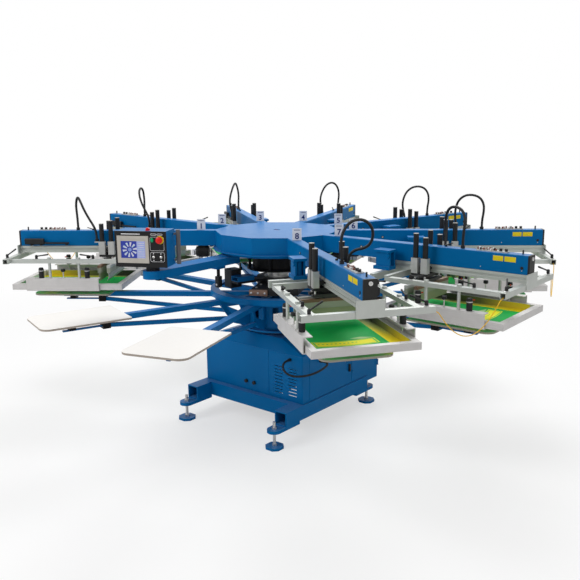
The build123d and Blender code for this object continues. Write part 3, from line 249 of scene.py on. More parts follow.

# %% [markdown]
# Nearly all of the press is sprayed in one deep blue gloss. Real paint is never one flat tone: it lies a
# little thicker here and there, which shifts its colour by a few percent, and it dries with a fine
# orange-peel skin. A slow noise does the first, a quick noise through a Bump node does the second, and a
# coat gives the gloss. Level tops also get a painted sheen: a pale sky blue in place of the sky's reflection.

# %% Blue paint
BLUE = (0.0004, 0.136, 0.372)
BLUE_DEEP = (0.0004, 0.114, 0.318)
# The painted sheen's pale sky blue, which level tops take in place of the sky's reflection.
TOP_PAINTED_SHEEN = (0.36, 0.50, 0.86)
LEVEL = 0.97


def sprayed(name, colour, deep, roughness, coat, painted_sheen=0.0):
    """A sprayed metal finish: slow drifts of tone, a fine skin, a clear coat and a painted sheen on level
    tops.
    """
    paint = Paint(name)
    drift = paint.noise(2.6, detail=2.0)
    smears = paint.noise(17.0, detail=4.0)
    skin = paint.noise(420.0, detail=1.0)
    body = paint.mix(drift.do("SMOOTH_MIN", 1.0) * 0.7, colour, deep)
    return paint.set(
        # Faces that point straight up get a painted sheen: pale sky blue is mixed in, standing in for
        # reflected sky.
        Base_Color=paint.mix((paint.up() > LEVEL) * painted_sheen, body, TOP_PAINTED_SHEEN),
        Roughness=roughness + smears * 0.12,
        Coat_Weight=coat,
        Coat_Roughness=0.12,
        Specular_IOR_Level=0.06,
        Normal=paint.bump(skin, 0.05, 0.0004),
    )


blue_paint = sprayed("blue_paint", BLUE, BLUE_DEEP, 0.26, 0.03, 0.13)
black_paint = sprayed("black_paint", (0.007, 0.007, 0.008), (0.013, 0.013, 0.014), 0.36, 0.04)
print("paints:", blue_paint.material.name, black_paint.material.name)

# %% [markdown]
# The rails, bars and clamps are drawn aluminium. Drawing leaves fine lines along the length, so the noise
# is squeezed across the part and stretched along it: r, out along the head, is the long way of nearly
# every part.

# %% Drawn aluminium and steel
LINES_LONG, LINES_ACROSS = 9.0, 420.0


def drawn_metal(name, light, dark, metallic, roughness):
    """Bare metal with lines along the head and a few dull patches."""
    paint = Paint(name)
    r, s, z = paint.head_place()
    lines = paint.noise(1.0, 2.0, paint.vector(r * LINES_LONG, s * LINES_ACROSS, z * LINES_ACROSS))
    patches = paint.noise(11.0, detail=5.0, rough=0.6)
    return paint.set(
        Base_Color=paint.mix(lines * 0.55 + patches * 0.45, light, dark),
        Metallic=metallic,
        Roughness=roughness + patches * 0.22,
        Normal=paint.bump(lines, 0.10, 0.0003),
    )


aluminium = drawn_metal("aluminium", (0.62, 0.64, 0.61), (0.36, 0.385, 0.355), 0.45, 0.30)
frame_aluminium = drawn_metal("frame_aluminium", (0.66, 0.645, 0.635), (0.44, 0.425, 0.415), 0.25, 0.40)
steel = drawn_metal("bare_steel", (0.70, 0.69, 0.68), (0.42, 0.42, 0.42), 0.9, 0.22)
print("metals:", aluminium.material.name, frame_aluminium.material.name, steel.material.name)

# %% [markdown]
# Small fittings are moulded in plastic, and prints and labels are close to it. They are dull, and what
# tells them apart from paint is a slight graininess and the grey bloom that handling leaves, so the
# colour and the roughness share one noise.


# %% Plastics and rubber
def moulded(name, colour, bloom, roughness):
    """A moulded plastic or rubber: one colour with a faint bloom and a grainy skin."""
    paint = Paint(name)
    handled = paint.noise(28.0, detail=4.0)
    return paint.set(
        Base_Color=paint.mix(handled * 0.8, colour, bloom),
        Roughness=roughness + handled * 0.15,
        Specular_IOR_Level=0.25,
        Normal=paint.grain(900.0, 0.08),
    )


black_plastic = moulded("black_plastic", (0.006, 0.006, 0.007), (0.020, 0.020, 0.021), 0.42)
yellow_rubber = moulded("yellow_cord", (0.85, 0.50, 0.01), (0.70, 0.40, 0.02), 0.45)
white_plastic = moulded("white_sign", (0.72, 0.74, 0.80), (0.64, 0.66, 0.72), 0.45)
red_plastic = moulded("red_plastic", (0.72, 0.010, 0.008), (0.60, 0.012, 0.010), 0.25)
green_plastic = moulded("green_plastic", (0.0, 0.34, 0.13), (0.0, 0.28, 0.11), 0.25)
label_yellow = moulded("label_yellow", (0.80, 0.62, 0.010), (0.66, 0.50, 0.010), 0.42)
dark_blue = moulded("dark_blue_print", (0.006, 0.020, 0.120), (0.012, 0.030, 0.150), 0.45)
orange = moulded("orange_plastic", (0.62, 0.060, 0.010), (0.50, 0.045, 0.010), 0.35)
print_white = moulded("print_white", (0.80, 0.80, 0.82), (0.70, 0.70, 0.72), 0.5)
brown = moulded("brown_plastic", (0.16, 0.050, 0.035), (0.26, 0.090, 0.060), 0.45)
print("plastics ready")

# %% [markdown]
# A printing screen is polyester mesh coated with green emulsion, taped along its edges, with a stencil in
# it. The stencil here is a curved banner with diamonds and a straight band of yellow ink: common ornament
# and nobody's picture. Each shape is a mask over r and s, and mixing them one over another builds the
# picture.

# %% Printing screen
WEAVE = 4200.0
# The middle of the painted shadow that darkens the screen, in metres out and across.
SCREEN_SHADOW_R, SCREEN_SHADOW_S = 1.50, 0.02
INK_FROM = 0.187
BANNER_R, BANNER_S, BANNER_BEND = 1.652, -0.035, 0.7
BANNER_HALVES = ((0.046, 0.178), (0.040, 0.170), (0.034, 0.162))
DIAMONDS_PER_M, DIAMONDS_END = 44.0, 0.075
PATCH_R, PATCH_S = 1.572, 0.075
HAIRLINE_S, HAIRLINE_END = -0.243, 1.806


def far_side(paint):
    """1 on the heads to the right of the axis and -1 on the left ones, whose screens hang the other way."""
    return (paint.place()[0] > 0.0) * 2.0 - 1.0


def printing_screen():
    """Green mesh, darker in a painted shadow round its middle, with a bordered banner of diamonds, a lighter
    patch and a band of ink along one side that runs into painted shade.
    """
    paint = Paint("mesh_green")
    r, s, z = paint.head_place()
    s = s * far_side(paint)
    green = (0.0, 0.440, 0.075)
    deep = (0.0, 0.270, 0.048)
    yellow = (0.90, 0.74, 0.008)
    lime = (0.62, 0.70, 0.02)
    stains = paint.noise(9.0, detail=5.0, rough=0.6)
    weave = (r * WEAVE).do("SINE") * (s * WEAVE).do("SINE")
    # The deep green towards the middle of the screen is a painted shadow, strongest round that point.
    from_r, from_s = r - SCREEN_SHADOW_R, s - SCREEN_SHADOW_S
    centre = from_r * from_r * 9.0 + from_s * from_s * 22.0
    colour = paint.mix(1.0 - centre * 1.2 + stains * 0.2, green, deep)
    # The ink band runs from yellow through olive to near black towards the frame's side and the far end; the
    # near black end is painted shade.
    ink_into_painted_shade = paint.ramp((s - INK_FROM) * 4.5 + (1.75 - r) * 1.5 + stains * 0.04, [
        (0.10, yellow), (0.42, (0.86, 0.68, 0.02)), (0.74, (0.36, 0.42, 0.10)), (1.0, (0.06, 0.09, 0.03))])
    colour = paint.mix(s > INK_FROM, colour, ink_into_painted_shade)
    along = s - BANNER_S
    across = r + along * along * BANNER_BEND - BANNER_R
    banner, rim, inner = [(abs(across) < width) & (abs(along) < length) for width, length in BANNER_HALVES]
    colour = paint.mix(banner, colour, lime)
    colour = paint.mix(rim & (1 - inner), colour, green)
    colour = paint.mix(inner, colour, paint.mix(stains, yellow, lime))
    beat = (along * DIAMONDS_PER_M).do("FRACT") - 0.5
    diamond = (abs(beat) + abs(across * 52.0 + 0.3)) < 0.34
    colour = paint.mix(diamond & inner & (along < DIAMONDS_END), colour, green)
    patch = (abs(r - PATCH_R) + abs(s - PATCH_S) * 0.30) < 0.020
    colour = paint.mix(patch * 0.8, colour, (0.36, 0.52, 0.24))
    hairline = (abs(s - HAIRLINE_S) < 0.0022) & (r < HAIRLINE_END)
    colour = paint.mix(hairline, colour, yellow)
    return paint.set(Base_Color=colour, Roughness=0.40 + stains * 0.15, Specular_IOR_Level=0.10,
                     Normal=paint.bump(weave, 0.15, 0.0002))


mesh_green = printing_screen()
print("screen ready")

# %% [markdown]
# Ink that a squeegee pushes aside ends on the inner face of the frame, yellow near the front. Further in the
# face turns near black, and that dark end is painted shade in the slot. The frames' aluminium already has a
# colour, so the wire that feeds it is taken up and mixed with the ink and the painted shade.


# %% Ink and painted shade on the frames
FRAME_FACE_S, FRAME_FACE_Z, FRAME_FACE_TO = (0.250, 0.2565), (0.985, 1.0312), 1.80


def add_ink(paint):
    """Mixes yellow ink, turning to painted shade further in, into the finish, on the frames' inner faces
    alone.
    """
    r, s, z = paint.head_place()
    inner_face = between(s * far_side(paint), *FRAME_FACE_S) & between(z, *FRAME_FACE_Z) & (r < FRAME_FACE_TO)
    clean = Wire(paint, paint.shader.inputs["Base Color"].links[0].from_socket)
    # Yellow ink at the outer end, turning near black further in: the dark end is painted shade on the inner
    # face.
    ink_and_shade = paint.ramp((r - 1.30) * 2.0, [(0.0, (0.05, 0.06, 0.03)), (0.35, (0.16, 0.17, 0.05)),
                                       (0.75, (0.66, 0.50, 0.03)), (1.0, (0.84, 0.64, 0.03))])
    paint.set(Base_Color=paint.mix(inner_face, clean, ink_and_shade))


add_ink(frame_aluminium)
print("ink on", frame_aluminium.material.name)

# %% [markdown]
# A pallet is a thin board with a pale, slightly tacky top and a bare, brownish edge. The way the surface
# faces decides: what faces up is top, the rest is edge.


# %% Pallet board
def pallet_board():
    paint = Paint("pallet_board")
    speckle = paint.noise(60.0, detail=6.0, rough=0.7)
    cloud = paint.noise(3.0, detail=2.0)
    top = paint.mix(speckle * 0.6 + cloud * 0.4, (0.85, 0.83, 0.80), (0.77, 0.75, 0.72))
    edge = paint.mix(speckle, (0.30, 0.25, 0.21), (0.42, 0.37, 0.32))
    return paint.set(Base_Color=paint.mix(paint.up() > 0.5, edge, top), Roughness=0.45 + speckle * 0.2,
                     Normal=paint.bump(speckle, 0.05, 0.0003))


board = pallet_board()
print("pallet board ready")

# %% [markdown]
# On a carriage the four risers are pale machined blocks and everything else is black, and a print bar is
# a steel rod, a black yoke, a holder and a blade in one node. Each finish takes its own range of height.

# %% Carriage and print bars
RISER_Z, RISER_S = (1.2142, 1.3098), 0.0722
CYLINDER_CAP, LOW_CAP_Z, LOW_CAP_R = 1.4578, (1.4358, 1.4382), 1.22
BLADE_TOP, HOLDER_STRIP, YOKE_Z = 1.0958, 1.132, (1.1502, 1.1762)


def machined(paint):
    """Pale machined aluminium, as a colour for a mask."""
    return paint.mix(paint.noise(40.0, detail=4.0), (0.56, 0.56, 0.545), (0.42, 0.42, 0.405))


def carriage_finish():
    """Black, with pale risers and a thin bright cap on each cylinder."""
    paint = Paint("carriage_mix")
    r, s, z = paint.head_place()
    riser = between(z, *RISER_Z) & (abs(s) > RISER_S)
    dull = paint.noise(30.0, detail=4.0)
    black = paint.mix(dull, (0.006, 0.006, 0.007), (0.018, 0.018, 0.019))
    cap = (z > CYLINDER_CAP) | (between(z, *LOW_CAP_Z) & (r > LOW_CAP_R))
    black = paint.mix(cap, black, (0.34, 0.33, 0.31))
    return paint.set(Base_Color=paint.mix(riser, black, machined(paint)), Metallic=riser * 0.4,
                     Specular_IOR_Level=0.25, Roughness=0.34 + dull * 0.12, Normal=paint.grain(500.0, 0.05))


def print_bar_finish(name, holder_light, holder_dark, blade):
    """From below: the blade, its wide holder, the holder's top strip, the yoke and the rod."""
    paint = Paint(name)
    r, s, z = paint.head_place()
    grain = paint.noise(1.0, 4.0, paint.vector(r * 120.0, s * 7.0, z * 120.0))
    rod = z > YOKE_Z[1]
    yoke = between(z, *YOKE_Z)
    top_strip = z > HOLDER_STRIP
    rubber = z < BLADE_TOP
    colour = paint.mix(grain, (0.40, 0.43, 0.34), (0.30, 0.33, 0.25))
    colour = paint.mix(top_strip, colour, paint.mix(grain, holder_light, holder_dark))
    colour = paint.mix(rubber, colour, blade)
    colour = paint.mix(yoke, colour, (0.018, 0.018, 0.019))
    colour = paint.mix(rod, colour, (0.68, 0.67, 0.66))
    return paint.set(Base_Color=colour, Metallic=rod * 0.85, Roughness=0.40 - rod * 0.18 + grain * 0.1,
                     Normal=paint.bump(grain, 0.08, 0.0004))


carriage_mix = carriage_finish()
squeegee_mix = print_bar_finish("squeegee_mix", (0.24, 0.14, 0.085), (0.15, 0.085, 0.05), (0.34, 0.37, 0.22))
flood_mix = print_bar_finish("flood_bar_mix", (0.60, 0.61, 0.59), (0.44, 0.46, 0.44), (0.62, 0.62, 0.61))
print("carriage finishes ready")

# %% [markdown]
# The panel's box is blue, its face plate black and its display's surround a warm grey. The box is turned,
# so a turned pair of coordinates, out from the face and along it, makes the masks simple.

# %% Panel finish
PANEL_PLACE = (-0.130, -1.060 + AXIS_Y)
PANEL_TURN = math.radians(298)
COLLAR_TOP, HANDLE_FROM = 1.2602, 0.1285
PLATE_OUT, SURROUND_OUT, SURROUND_TO = 0.0717, 0.0781, 0.011
DISPLAY_ALONG, DISPLAY_Z = (-0.172, -0.012), (1.317, 1.4235)
WHEEL_ALONG, WHEEL_Z, WHEEL_SIDE = -0.114, 1.3698, -0.068


def panel_finish():
    """A blue box, a black face, a grey surround and a display with a colour wheel beside rows of text."""
    paint = Paint("panel_mix")
    out, along, z = paint.turned_place(PANEL_PLACE, PANEL_TURN)
    drift = paint.noise(3.0, detail=2.0)
    blue = paint.mix(drift, BLUE, BLUE_DEEP)
    black = paint.mix(drift, (0.010, 0.010, 0.011), (0.020, 0.020, 0.021))
    grey = paint.mix(paint.noise(20.0), (0.50, 0.47, 0.42), (0.44, 0.41, 0.37))
    handle = paint.mix(paint.noise(24.0), (0.16, 0.15, 0.155), (0.11, 0.105, 0.11))
    colour = paint.mix(out > PLATE_OUT, blue, black)
    colour = paint.mix((out > SURROUND_OUT) & (along < SURROUND_TO), colour, grey)
    u, v = along - WHEEL_ALONG, z - WHEEL_Z
    reach = (u * u + v * v).do("SQRT")
    petals = ((v.do("ARCTAN2", u) * 10.0).do("SINE") > 0.1) & between(reach, 0.020, 0.047)
    wheel = paint.mix(paint.noise(60.0, 0.0), (0.75, 0.62, 0.72), (0.30, 0.55, 0.66))
    screen = paint.mix(along > WHEEL_SIDE, (0.035, 0.055, 0.34), (0.34, 0.38, 0.72))
    rows = ((z * 75.0).do("FRACT") > 0.62) & between(along, -0.062, -0.018)
    screen = paint.mix(rows | (petals & (along < WHEEL_SIDE)), screen, wheel)
    screen = paint.mix(reach < 0.012, screen, (0.22, 0.30, 0.62))
    lit = (out > SURROUND_OUT) & between(along, *DISPLAY_ALONG) & between(z, *DISPLAY_Z)
    colour = paint.mix(lit, colour, screen)
    colour = paint.mix(z < COLLAR_TOP, colour, black)
    colour = paint.mix(along > HANDLE_FROM, colour, handle)
    return paint.set(Base_Color=colour, Roughness=0.32 + drift * 0.1, Specular_IOR_Level=0.16,
                     Normal=paint.grain(500.0, 0.05))


panel_mix = panel_finish()
print("panel finish ready")

# %% [markdown]
# Three more nodes hold pieces of two colours. The drive is black with a blue hollow beam. Of what stands
# on an arm, the switch strip is a bare plate with small mixed fittings and the rest is black plastic, and
# the end cap is black with a silver lock. Height and distance along the head tell the pieces apart.


# %% Drive and arm fittings
DRIVE_TURN = math.radians(256)
BEAM_Z, BEAM_HALF, BEAM_FROM = (1.0452, 1.0798), 0.0422, 0.2
STRIP_FOOT, STRIP_TOP, STRIP_PLATE_TOP = 1.3799, 1.3862, 1.3861
STRIP_R, STRIP_HALF, STRIP_PLATE_R = (1.558, 1.69), 0.0222, (1.558, 1.752)
PLUG_R, PLUG_Z, PLUG_SIZE = 0.760, 1.330, 0.0055
LOCK_FROM, LOCK_Z = 1.8963, 1.358


def drive_finish():
    """Black, with a blue hollow beam."""
    paint = Paint("drive_mix")
    out, along, z = paint.turned_place((0.0, AXIS_Y), DRIVE_TURN)
    drift = paint.noise(6.0, detail=3.0)
    black = paint.mix(drift, (0.006, 0.007, 0.009), (0.014, 0.015, 0.018))
    beam = between(z, *BEAM_Z) & (abs(along) < BEAM_HALF) & (out > BEAM_FROM)
    return paint.set(Base_Color=paint.mix(beam, black, paint.mix(drift, BLUE, BLUE_DEEP)),
                     Roughness=0.36 + drift * 0.15, Specular_IOR_Level=0.2, Normal=paint.grain(400.0, 0.05))


def fittings_finish():
    """Black, with a bare plate under the switch strip, mixed colours on the strip and a bright plug."""
    paint = Paint("arm_fittings_mix")
    r, s, z = paint.head_place()
    handled = paint.noise(28.0, detail=4.0)
    black = paint.mix(handled, (0.006, 0.006, 0.007), (0.020, 0.020, 0.021))
    mixed = paint.ramp(paint.noise(75.0, 1.0), [(0.35, (0.06, 0.035, 0.03)), (0.48, (0.50, 0.49, 0.47)),
                                              (0.56, (0.30, 0.12, 0.07)), (0.64, (0.62, 0.62, 0.60))])
    plate = between(z, STRIP_FOOT, STRIP_PLATE_TOP) & between(r, *STRIP_PLATE_R)
    metal = paint.mix(handled, (0.55, 0.56, 0.55), (0.36, 0.37, 0.36))
    from_r, from_z = r - PLUG_R, z - PLUG_Z
    plug = (from_r * from_r + from_z * from_z).do("SQRT") < PLUG_SIZE
    colour = paint.mix(plate | plug, black, metal)
    strip = between(r, *STRIP_R) & (abs(s) < STRIP_HALF) & (z > STRIP_TOP)
    colour = paint.mix(strip, colour, mixed)
    return paint.set(Base_Color=colour, Roughness=0.40 + handled * 0.12, Specular_IOR_Level=0.25,
                     Normal=paint.grain(900.0, 0.06))


def end_cap_finish():
    """Black, with a silver lock that has a dark keyhole."""
    paint = Paint("end_cap_mix")
    r, s, z = paint.head_place()
    handled = paint.noise(28.0, detail=4.0)
    black = paint.mix(handled, (0.009, 0.009, 0.009), (0.020, 0.020, 0.019))
    lock = r > LOCK_FROM
    keyhole = (abs(s) < 0.0012) & (abs(z - LOCK_Z) < 0.005)
    silver = paint.mix(keyhole, (0.62, 0.62, 0.61), (0.10, 0.10, 0.10))
    return paint.set(Base_Color=paint.mix(lock, black, silver), Roughness=0.45 + handled * 0.12,
                     Specular_IOR_Level=0.25, Metallic=lock * 0.5, Normal=paint.grain(900.0, 0.06))


drive_mix = drive_finish()
fittings_mix = fittings_finish()
end_cap_mix = end_cap_finish()
print("drive, arm fittings and end caps ready")

# %% [markdown]
# The blue machinery has bare pieces of its own: the column's shroud and the drive stand in black, the
# feet's studs are zinc plated and the pads are cast. One dictionary says which finish each solid of the
# frame takes.

# %% Finish every solid
FINISHES = {
    blue_paint: ["base_frame", "cabinet_shell", "cabinet_panels", "electrical_box", "upper_hub", "head_arms",
                 "registration_units", "carousel_hub", "pallet_arms", "cabinet_door", "panel_arm",
                 "levelling_pads"],
    black_paint: ["column_shroud", "pallet_brackets"],
    drive_mix: ["index_drive"],
    fittings_mix: ["arm_controls"],
    end_cap_mix: ["arm_end_caps"],
    aluminium: ["lift_cylinders", "stroke_rails", "holder_frames"],
    steel: ["levelling_studs", "centre_column", "lift_sleeve"],
    frame_aluminium: ["screen_frames", "clamp_rails"],
    mesh_green: ["screen_meshes"],
    board: ["pallets"],
    black_plastic: ["glands_and_latch", "clamps_and_levers", "carriage_hoses", "cabinet_hose"],
    yellow_rubber: ["safety_cords"],
    white_plastic: ["number_signs"],
    red_plastic: ["estop_button"],
    green_plastic: ["start_button"],
    panel_mix: ["panel_enclosure"],
    carriage_mix: [f"carriage_{i}" for i in range(1, 9)],
    squeegee_mix: [f"squeegee_{i}" for i in range(1, 9)],
    flood_mix: [f"flood_bar_{i}" for i in range(1, 9)],
}


def give(obj, paint):
    """The object gets this one finish."""
    obj.data.materials.clear()
    obj.data.materials.append(paint.material)


for paint, names in FINISHES.items():
    for name in names:
        give(frame["nodes"][name], paint)
unfinished = set(frame["nodes"]) - {name for names in FINISHES.values() for name in names}
print("finished", len(frame["nodes"]) - len(unfinished), "solids, left", sorted(unfinished))

# %% [markdown]
# The floor is a big pale disc. Close to the press it is matt and takes the shadow. Further out it turns,
# for the camera alone, into the same white as the world behind it, so no horizon shows.


# %% Floor
NEAR_WHITE = 0.74
FADE_FROM, FADE_OVER = 2.6, 3.2


def pale_floor():
    paint = Paint("floor")
    x, y, z = paint.place()
    far = ((x * x + y * y).do("SQRT") - FADE_FROM) / FADE_OVER
    seen = paint.node("ShaderNodeLightPath", output="Is Camera Ray")
    white_share = paint.node("ShaderNodeClamp", inputs={0: far * (1 - NEAR_WHITE) + NEAR_WHITE})
    speckle = paint.noise(5.0)
    paint.set(Base_Color=paint.mix(speckle, (0.93, 0.93, 0.93), (0.91, 0.91, 0.915)), Roughness=0.75)
    white = paint.node("ShaderNodeEmission", inputs={"Color": (1.0, 1.0, 1.0, 1.0), "Strength": 1.0})
    output = next(n for n in paint.tree.nodes if n.type == "OUTPUT_MATERIAL")
    blend = paint.node("ShaderNodeMixShader", inputs={0: white_share * seen})
    paint.tree.links.new(paint.shader.outputs[0], blend.socket.node.inputs[1])
    paint.tree.links.new(white.socket, blend.socket.node.inputs[2])
    paint.tree.links.new(blend.socket, output.inputs["Surface"])
    return paint


bpy.ops.object.select_all(action="DESELECT")
bpy.ops.mesh.primitive_circle_add(vertices=96, radius=30.0, fill_type="NGON", location=(0, 0, -0.5 * MM))
floor = bpy.context.active_object
floor.name = "floor"
give(floor, pale_floor())

print("floor of", len(floor.data.vertices), "sides")

# %% [markdown]
# The world is plain white to the camera and in reflections. As a light it is weaker, so that the lamps
# can model the shapes. The light path node tells the two uses apart.

# %% World
WORLD_LIGHT = 0.42
world = bpy.data.worlds.new("studio")
bpy.context.scene.world = world
world.use_nodes = True
sky = world.node_tree.nodes["Background"]
sky.inputs["Color"].default_value = (1.0, 1.0, 1.0, 1.0)
rays = world.node_tree.nodes.new("ShaderNodeLightPath")
seen = world.node_tree.nodes.new("ShaderNodeMath")
seen.operation = "MAXIMUM"
level = world.node_tree.nodes.new("ShaderNodeMath")
level.operation = "MULTIPLY_ADD"
level.inputs[1].default_value = 1.0 - WORLD_LIGHT
level.inputs[2].default_value = WORLD_LIGHT
for source, target in ((rays.outputs["Is Camera Ray"], seen.inputs[0]),
                       (rays.outputs["Is Glossy Ray"], seen.inputs[1]),
                       (seen.outputs[0], level.inputs[0]),
                       (level.outputs[0], sky.inputs["Strength"])):
    world.node_tree.links.new(source, target)
bpy.context.scene.view_settings.view_transform = "Standard"
print("world's light at", WORLD_LIGHT)

# %% [markdown]
# Three large soft lamps do the rest: one high in front on the left as the main light, a weaker one on the
# right and one behind and above that draws the bright edges along the arms.


# %% Lamps
LAMP_TARGET = (0.0, 0.0, 0.9)


def lamp(name, place, size, power):
    """A square lamp that looks at the middle of the press."""
    data = bpy.data.lights.new(name, "AREA")
    data.shape = "SQUARE"
    data.size = size
    data.energy = power
    made = bpy.data.objects.new(name, data)
    made.location = place
    made.rotation_euler = (Vector(LAMP_TARGET) - Vector(place)).to_track_quat("-Z", "Y").to_euler()
    bpy.context.scene.collection.objects.link(made)


lamp("main_light", (-2.2, -5.2, 4.6), 3.2, 172.0)
lamp("side_light", (5.4, -1.2, 3.2), 3.0, 40.0)
lamp("top_light", (-0.6, 2.4, 5.2), 2.6, 225.0)
print("lamps ready")

# %% [markdown]
# Every hose and cord is first one smooth NURBS curve through its route. Order 3 keeps it close to its
# points, and it is set after the points are added, or it falls back to straight runs. The routes are
# those of the solids.

# %% Cord routes
PEAKED_HOSE = [
    (1464, 0, 1398), (1464, 0, 1446), (1469, -8, 1500), (1472, -8, 1556), (1458, 12, 1608),
    (1430, 58, 1626), (1400, 102, 1600), (1373, 117, 1542), (1343, 112, 1478), (1315, 99, 1422),
    (1301, 90, 1374), (1301, 90, 1328)]
ARCHED_HOSE = [
    (1464, 0, 1398), (1464, 0, 1446), (1472, -6, 1500), (1473, 0, 1556), (1450, 16, 1602),
    (1404, 34, 1622), (1350, 56, 1618), (1310, 80, 1584), (1294, 100, 1534), (1290, 111, 1480),
    (1295, 106, 1426), (1301, 90, 1376), (1301, 90, 1328)]
SIDE_LOOP_HOSE = [
    (1464, 0, 1398), (1464, 0, 1442), (1462, -6, 1496), (1461, 4, 1552), (1459, 40, 1600),
    (1455, 92, 1618), (1448, 146, 1604), (1440, 183, 1562), (1430, 189, 1506), (1408, 176, 1464),
    (1378, 154, 1444), (1343, 126, 1434), (1314, 102, 1410), (1301, 90, 1370), (1301, 90, 1328)]
HEAD_HOSES = [PEAKED_HOSE] * 2 + [ARCHED_HOSE] * 5 + [SIDE_LOOP_HOSE]
HOSE_LENGTHS = [0.620] * 2 + [0.641] * 5 + [0.697]
SAFETY_CORD = [
    (1879, 336, 1192), (1879, 366, 1192), (1869, 397, 1149), (1857, 433, 1106), (1844, 474, 1068),
    (1830, 518, 1040), (1815, 564, 1025), (1800, 611, 1025), (1785, 657, 1040), (1770, 701, 1068),
    (1757, 741, 1106), (1745, 778, 1149), (1735, 808, 1192), (1718, 833, 1192)]
CABINET_HOSE = [
    (357, -317, 540), (357, -364, 540), (369, -397, 508), (408, -402, 476), (455, -385, 462),
    (498, -345, 460), (530, -298, 465), (552, -245, 475), (562, -190, 488), (559, -135, 500),
    (529, -105, 504), (487, -105, 504)]


def smooth_curve(name, points):
    """One open NURBS spline with those points, which already are in metres, as its control points."""
    data = bpy.data.curves.new(name, "CURVE")
    data.dimensions = "3D"
    data.resolution_u = 12
    spline = data.splines.new("NURBS")
    spline.points.add(len(points) - 1)
    for knot, point in zip(spline.points, points):
        knot.co = (*point, 1.0)
    spline.order_u = 3
    spline.use_endpoint_u = True
    made = bpy.data.objects.new(name, data)
    bpy.context.scene.collection.objects.link(made)
    return made


def line_of(curve):
    """The curve's own line as points, read while it has no bevel."""
    mesh = bpy.data.meshes.new_from_object(curve)
    line = [vertex.co.copy() for vertex in mesh.vertices]
    bpy.data.meshes.remove(mesh)
    return line


hose_curves = [smooth_curve(f"hose_route_{i}", [at_head(a, *p) for p in route])
               for i, (a, route) in enumerate(zip(HEAD_ANGLES, HEAD_HOSES), 1)]
hose_lines = [line_of(curve) for curve in hose_curves]
for curve in hose_curves:
    bpy.data.objects.remove(curve)
for number, line in enumerate(hose_lines, 1):
    print("hose", number, "runs", round(sum((b - a).length for a, b in zip(line, line[1:])), 3), "m")

# %% [markdown]
# The carriage hoses are corrugated conduit. A bevelled curve can't have ribs, so the tube is a small mesh
# of its own: rings stand square to the line at an even pitch, and every second ring is a little wider. To
# stop it from twisting, each ring takes its sideways direction from the one before.

# %% Corrugated hoses
RIB_PITCH = 0.0042
RIB_DEPTH = 0.0016
HOSE_R = 0.009
RING_SIDES = 12


def even_points(line, pitch):
    """Points at an even pitch along a line, with the direction of the line at each."""
    places, directions = [line[0]], [(line[1] - line[0]).normalized()]
    due = pitch
    gone = 0.0
    for a, b in zip(line, line[1:]):
        run = (b - a).length
        while due <= gone + run:
            places.append(a.lerp(b, (due - gone) / run))
            directions.append((b - a).normalized())
            due += pitch
        gone += run
    places.append(line[-1])
    directions.append((line[-1] - line[-2]).normalized())
    return places, directions


def corrugated_tube(name, line, radius, pitch, depth):
    """A closed tube along the line, with a rib every second ring."""
    places, directions = even_points(line, pitch)
    side = directions[0].orthogonal().normalized()
    vertices, faces = [], []
    for i, (centre, ahead) in enumerate(zip(places, directions)):
        side = (side - ahead * side.dot(ahead)).normalized()
        across = ahead.cross(side)
        reach = radius - (depth if i % 2 else 0.0)
        for k in range(RING_SIDES):
            turn = 2 * math.pi * k / RING_SIDES
            vertices.append(centre + (side * math.cos(turn) + across * math.sin(turn)) * reach)
    for i in range(len(places) - 1):
        for k in range(RING_SIDES):
            a, b = i * RING_SIDES + k, i * RING_SIDES + (k + 1) % RING_SIDES
            faces.append((a, b, b + RING_SIDES, a + RING_SIDES))
    faces.append(tuple(range(RING_SIDES))[::-1])
    faces.append(tuple(range((len(places) - 1) * RING_SIDES, len(places) * RING_SIDES)))
    mesh = bpy.data.meshes.new(name)
    mesh.from_pydata(vertices, [], faces)
    made = bpy.data.objects.new(name, mesh)
    bpy.context.scene.collection.objects.link(made)
    for face in mesh.polygons:
        face.use_smooth = len(face.vertices) == 4
    return made


for number, (line, length) in enumerate(zip(hose_lines, HOSE_LENGTHS), 1):
    hose = corrugated_tube(f"carriage_hose_{number}", line, HOSE_R, RIB_PITCH, RIB_DEPTH)
    give(hose, black_plastic)
    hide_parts("carriage_hoses")
    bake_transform(hose)
print("8 corrugated hoses,", len(hose.data.polygons), "faces each")

# %% [markdown]
# Between neighbouring heads hangs a thin yellow safety cord, and a black hose goes round the cabinet's
# corner. Both are smooth, so a curve with a round bevel is all that they need.

# %% Safety cords and cabinet hose
CORD_R, CORD_LENGTH = 0.0025, 0.650
CABINET_HOSE_R, CABINET_HOSE_LENGTH = 0.0075, 0.558


def round_cord(name, points, radius, smoothness, paint, node):
    """A smooth cord through the points, which stands for a node's solid and stays on the frame."""
    cord = smooth_curve(name, points)
    cord.data.bevel_depth = radius
    cord.data.bevel_resolution = smoothness
    cord.data.use_fill_caps = True
    give(cord, paint)
    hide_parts(node)
    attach(cord, ROOT)
    return cord


for number, angle in enumerate(HEAD_ANGLES[1:], 1):
    points = [at_head(angle, *p) for p in SAFETY_CORD]
    cord = round_cord(f"safety_cord_{number}", points, CORD_R, 2, yellow_rubber,
                      "safety_cords")

points = [at_head(0, *p) for p in CABINET_HOSE]
hose = round_cord("cabinet_air_hose", points, CABINET_HOSE_R, 4, black_plastic,
                  "cabinet_hose")
print("7 safety cords and the cabinet's hose")

# %% [markdown]
# The next pieces are those that the plain solids don't show. Each starts from a primitive at its own
# place and is shaped in edit mode. A head's pieces are modelled once, as on a head that points along X,
# and copied round.

# %% Modelling helpers
from mathutils import Matrix
from random import Random


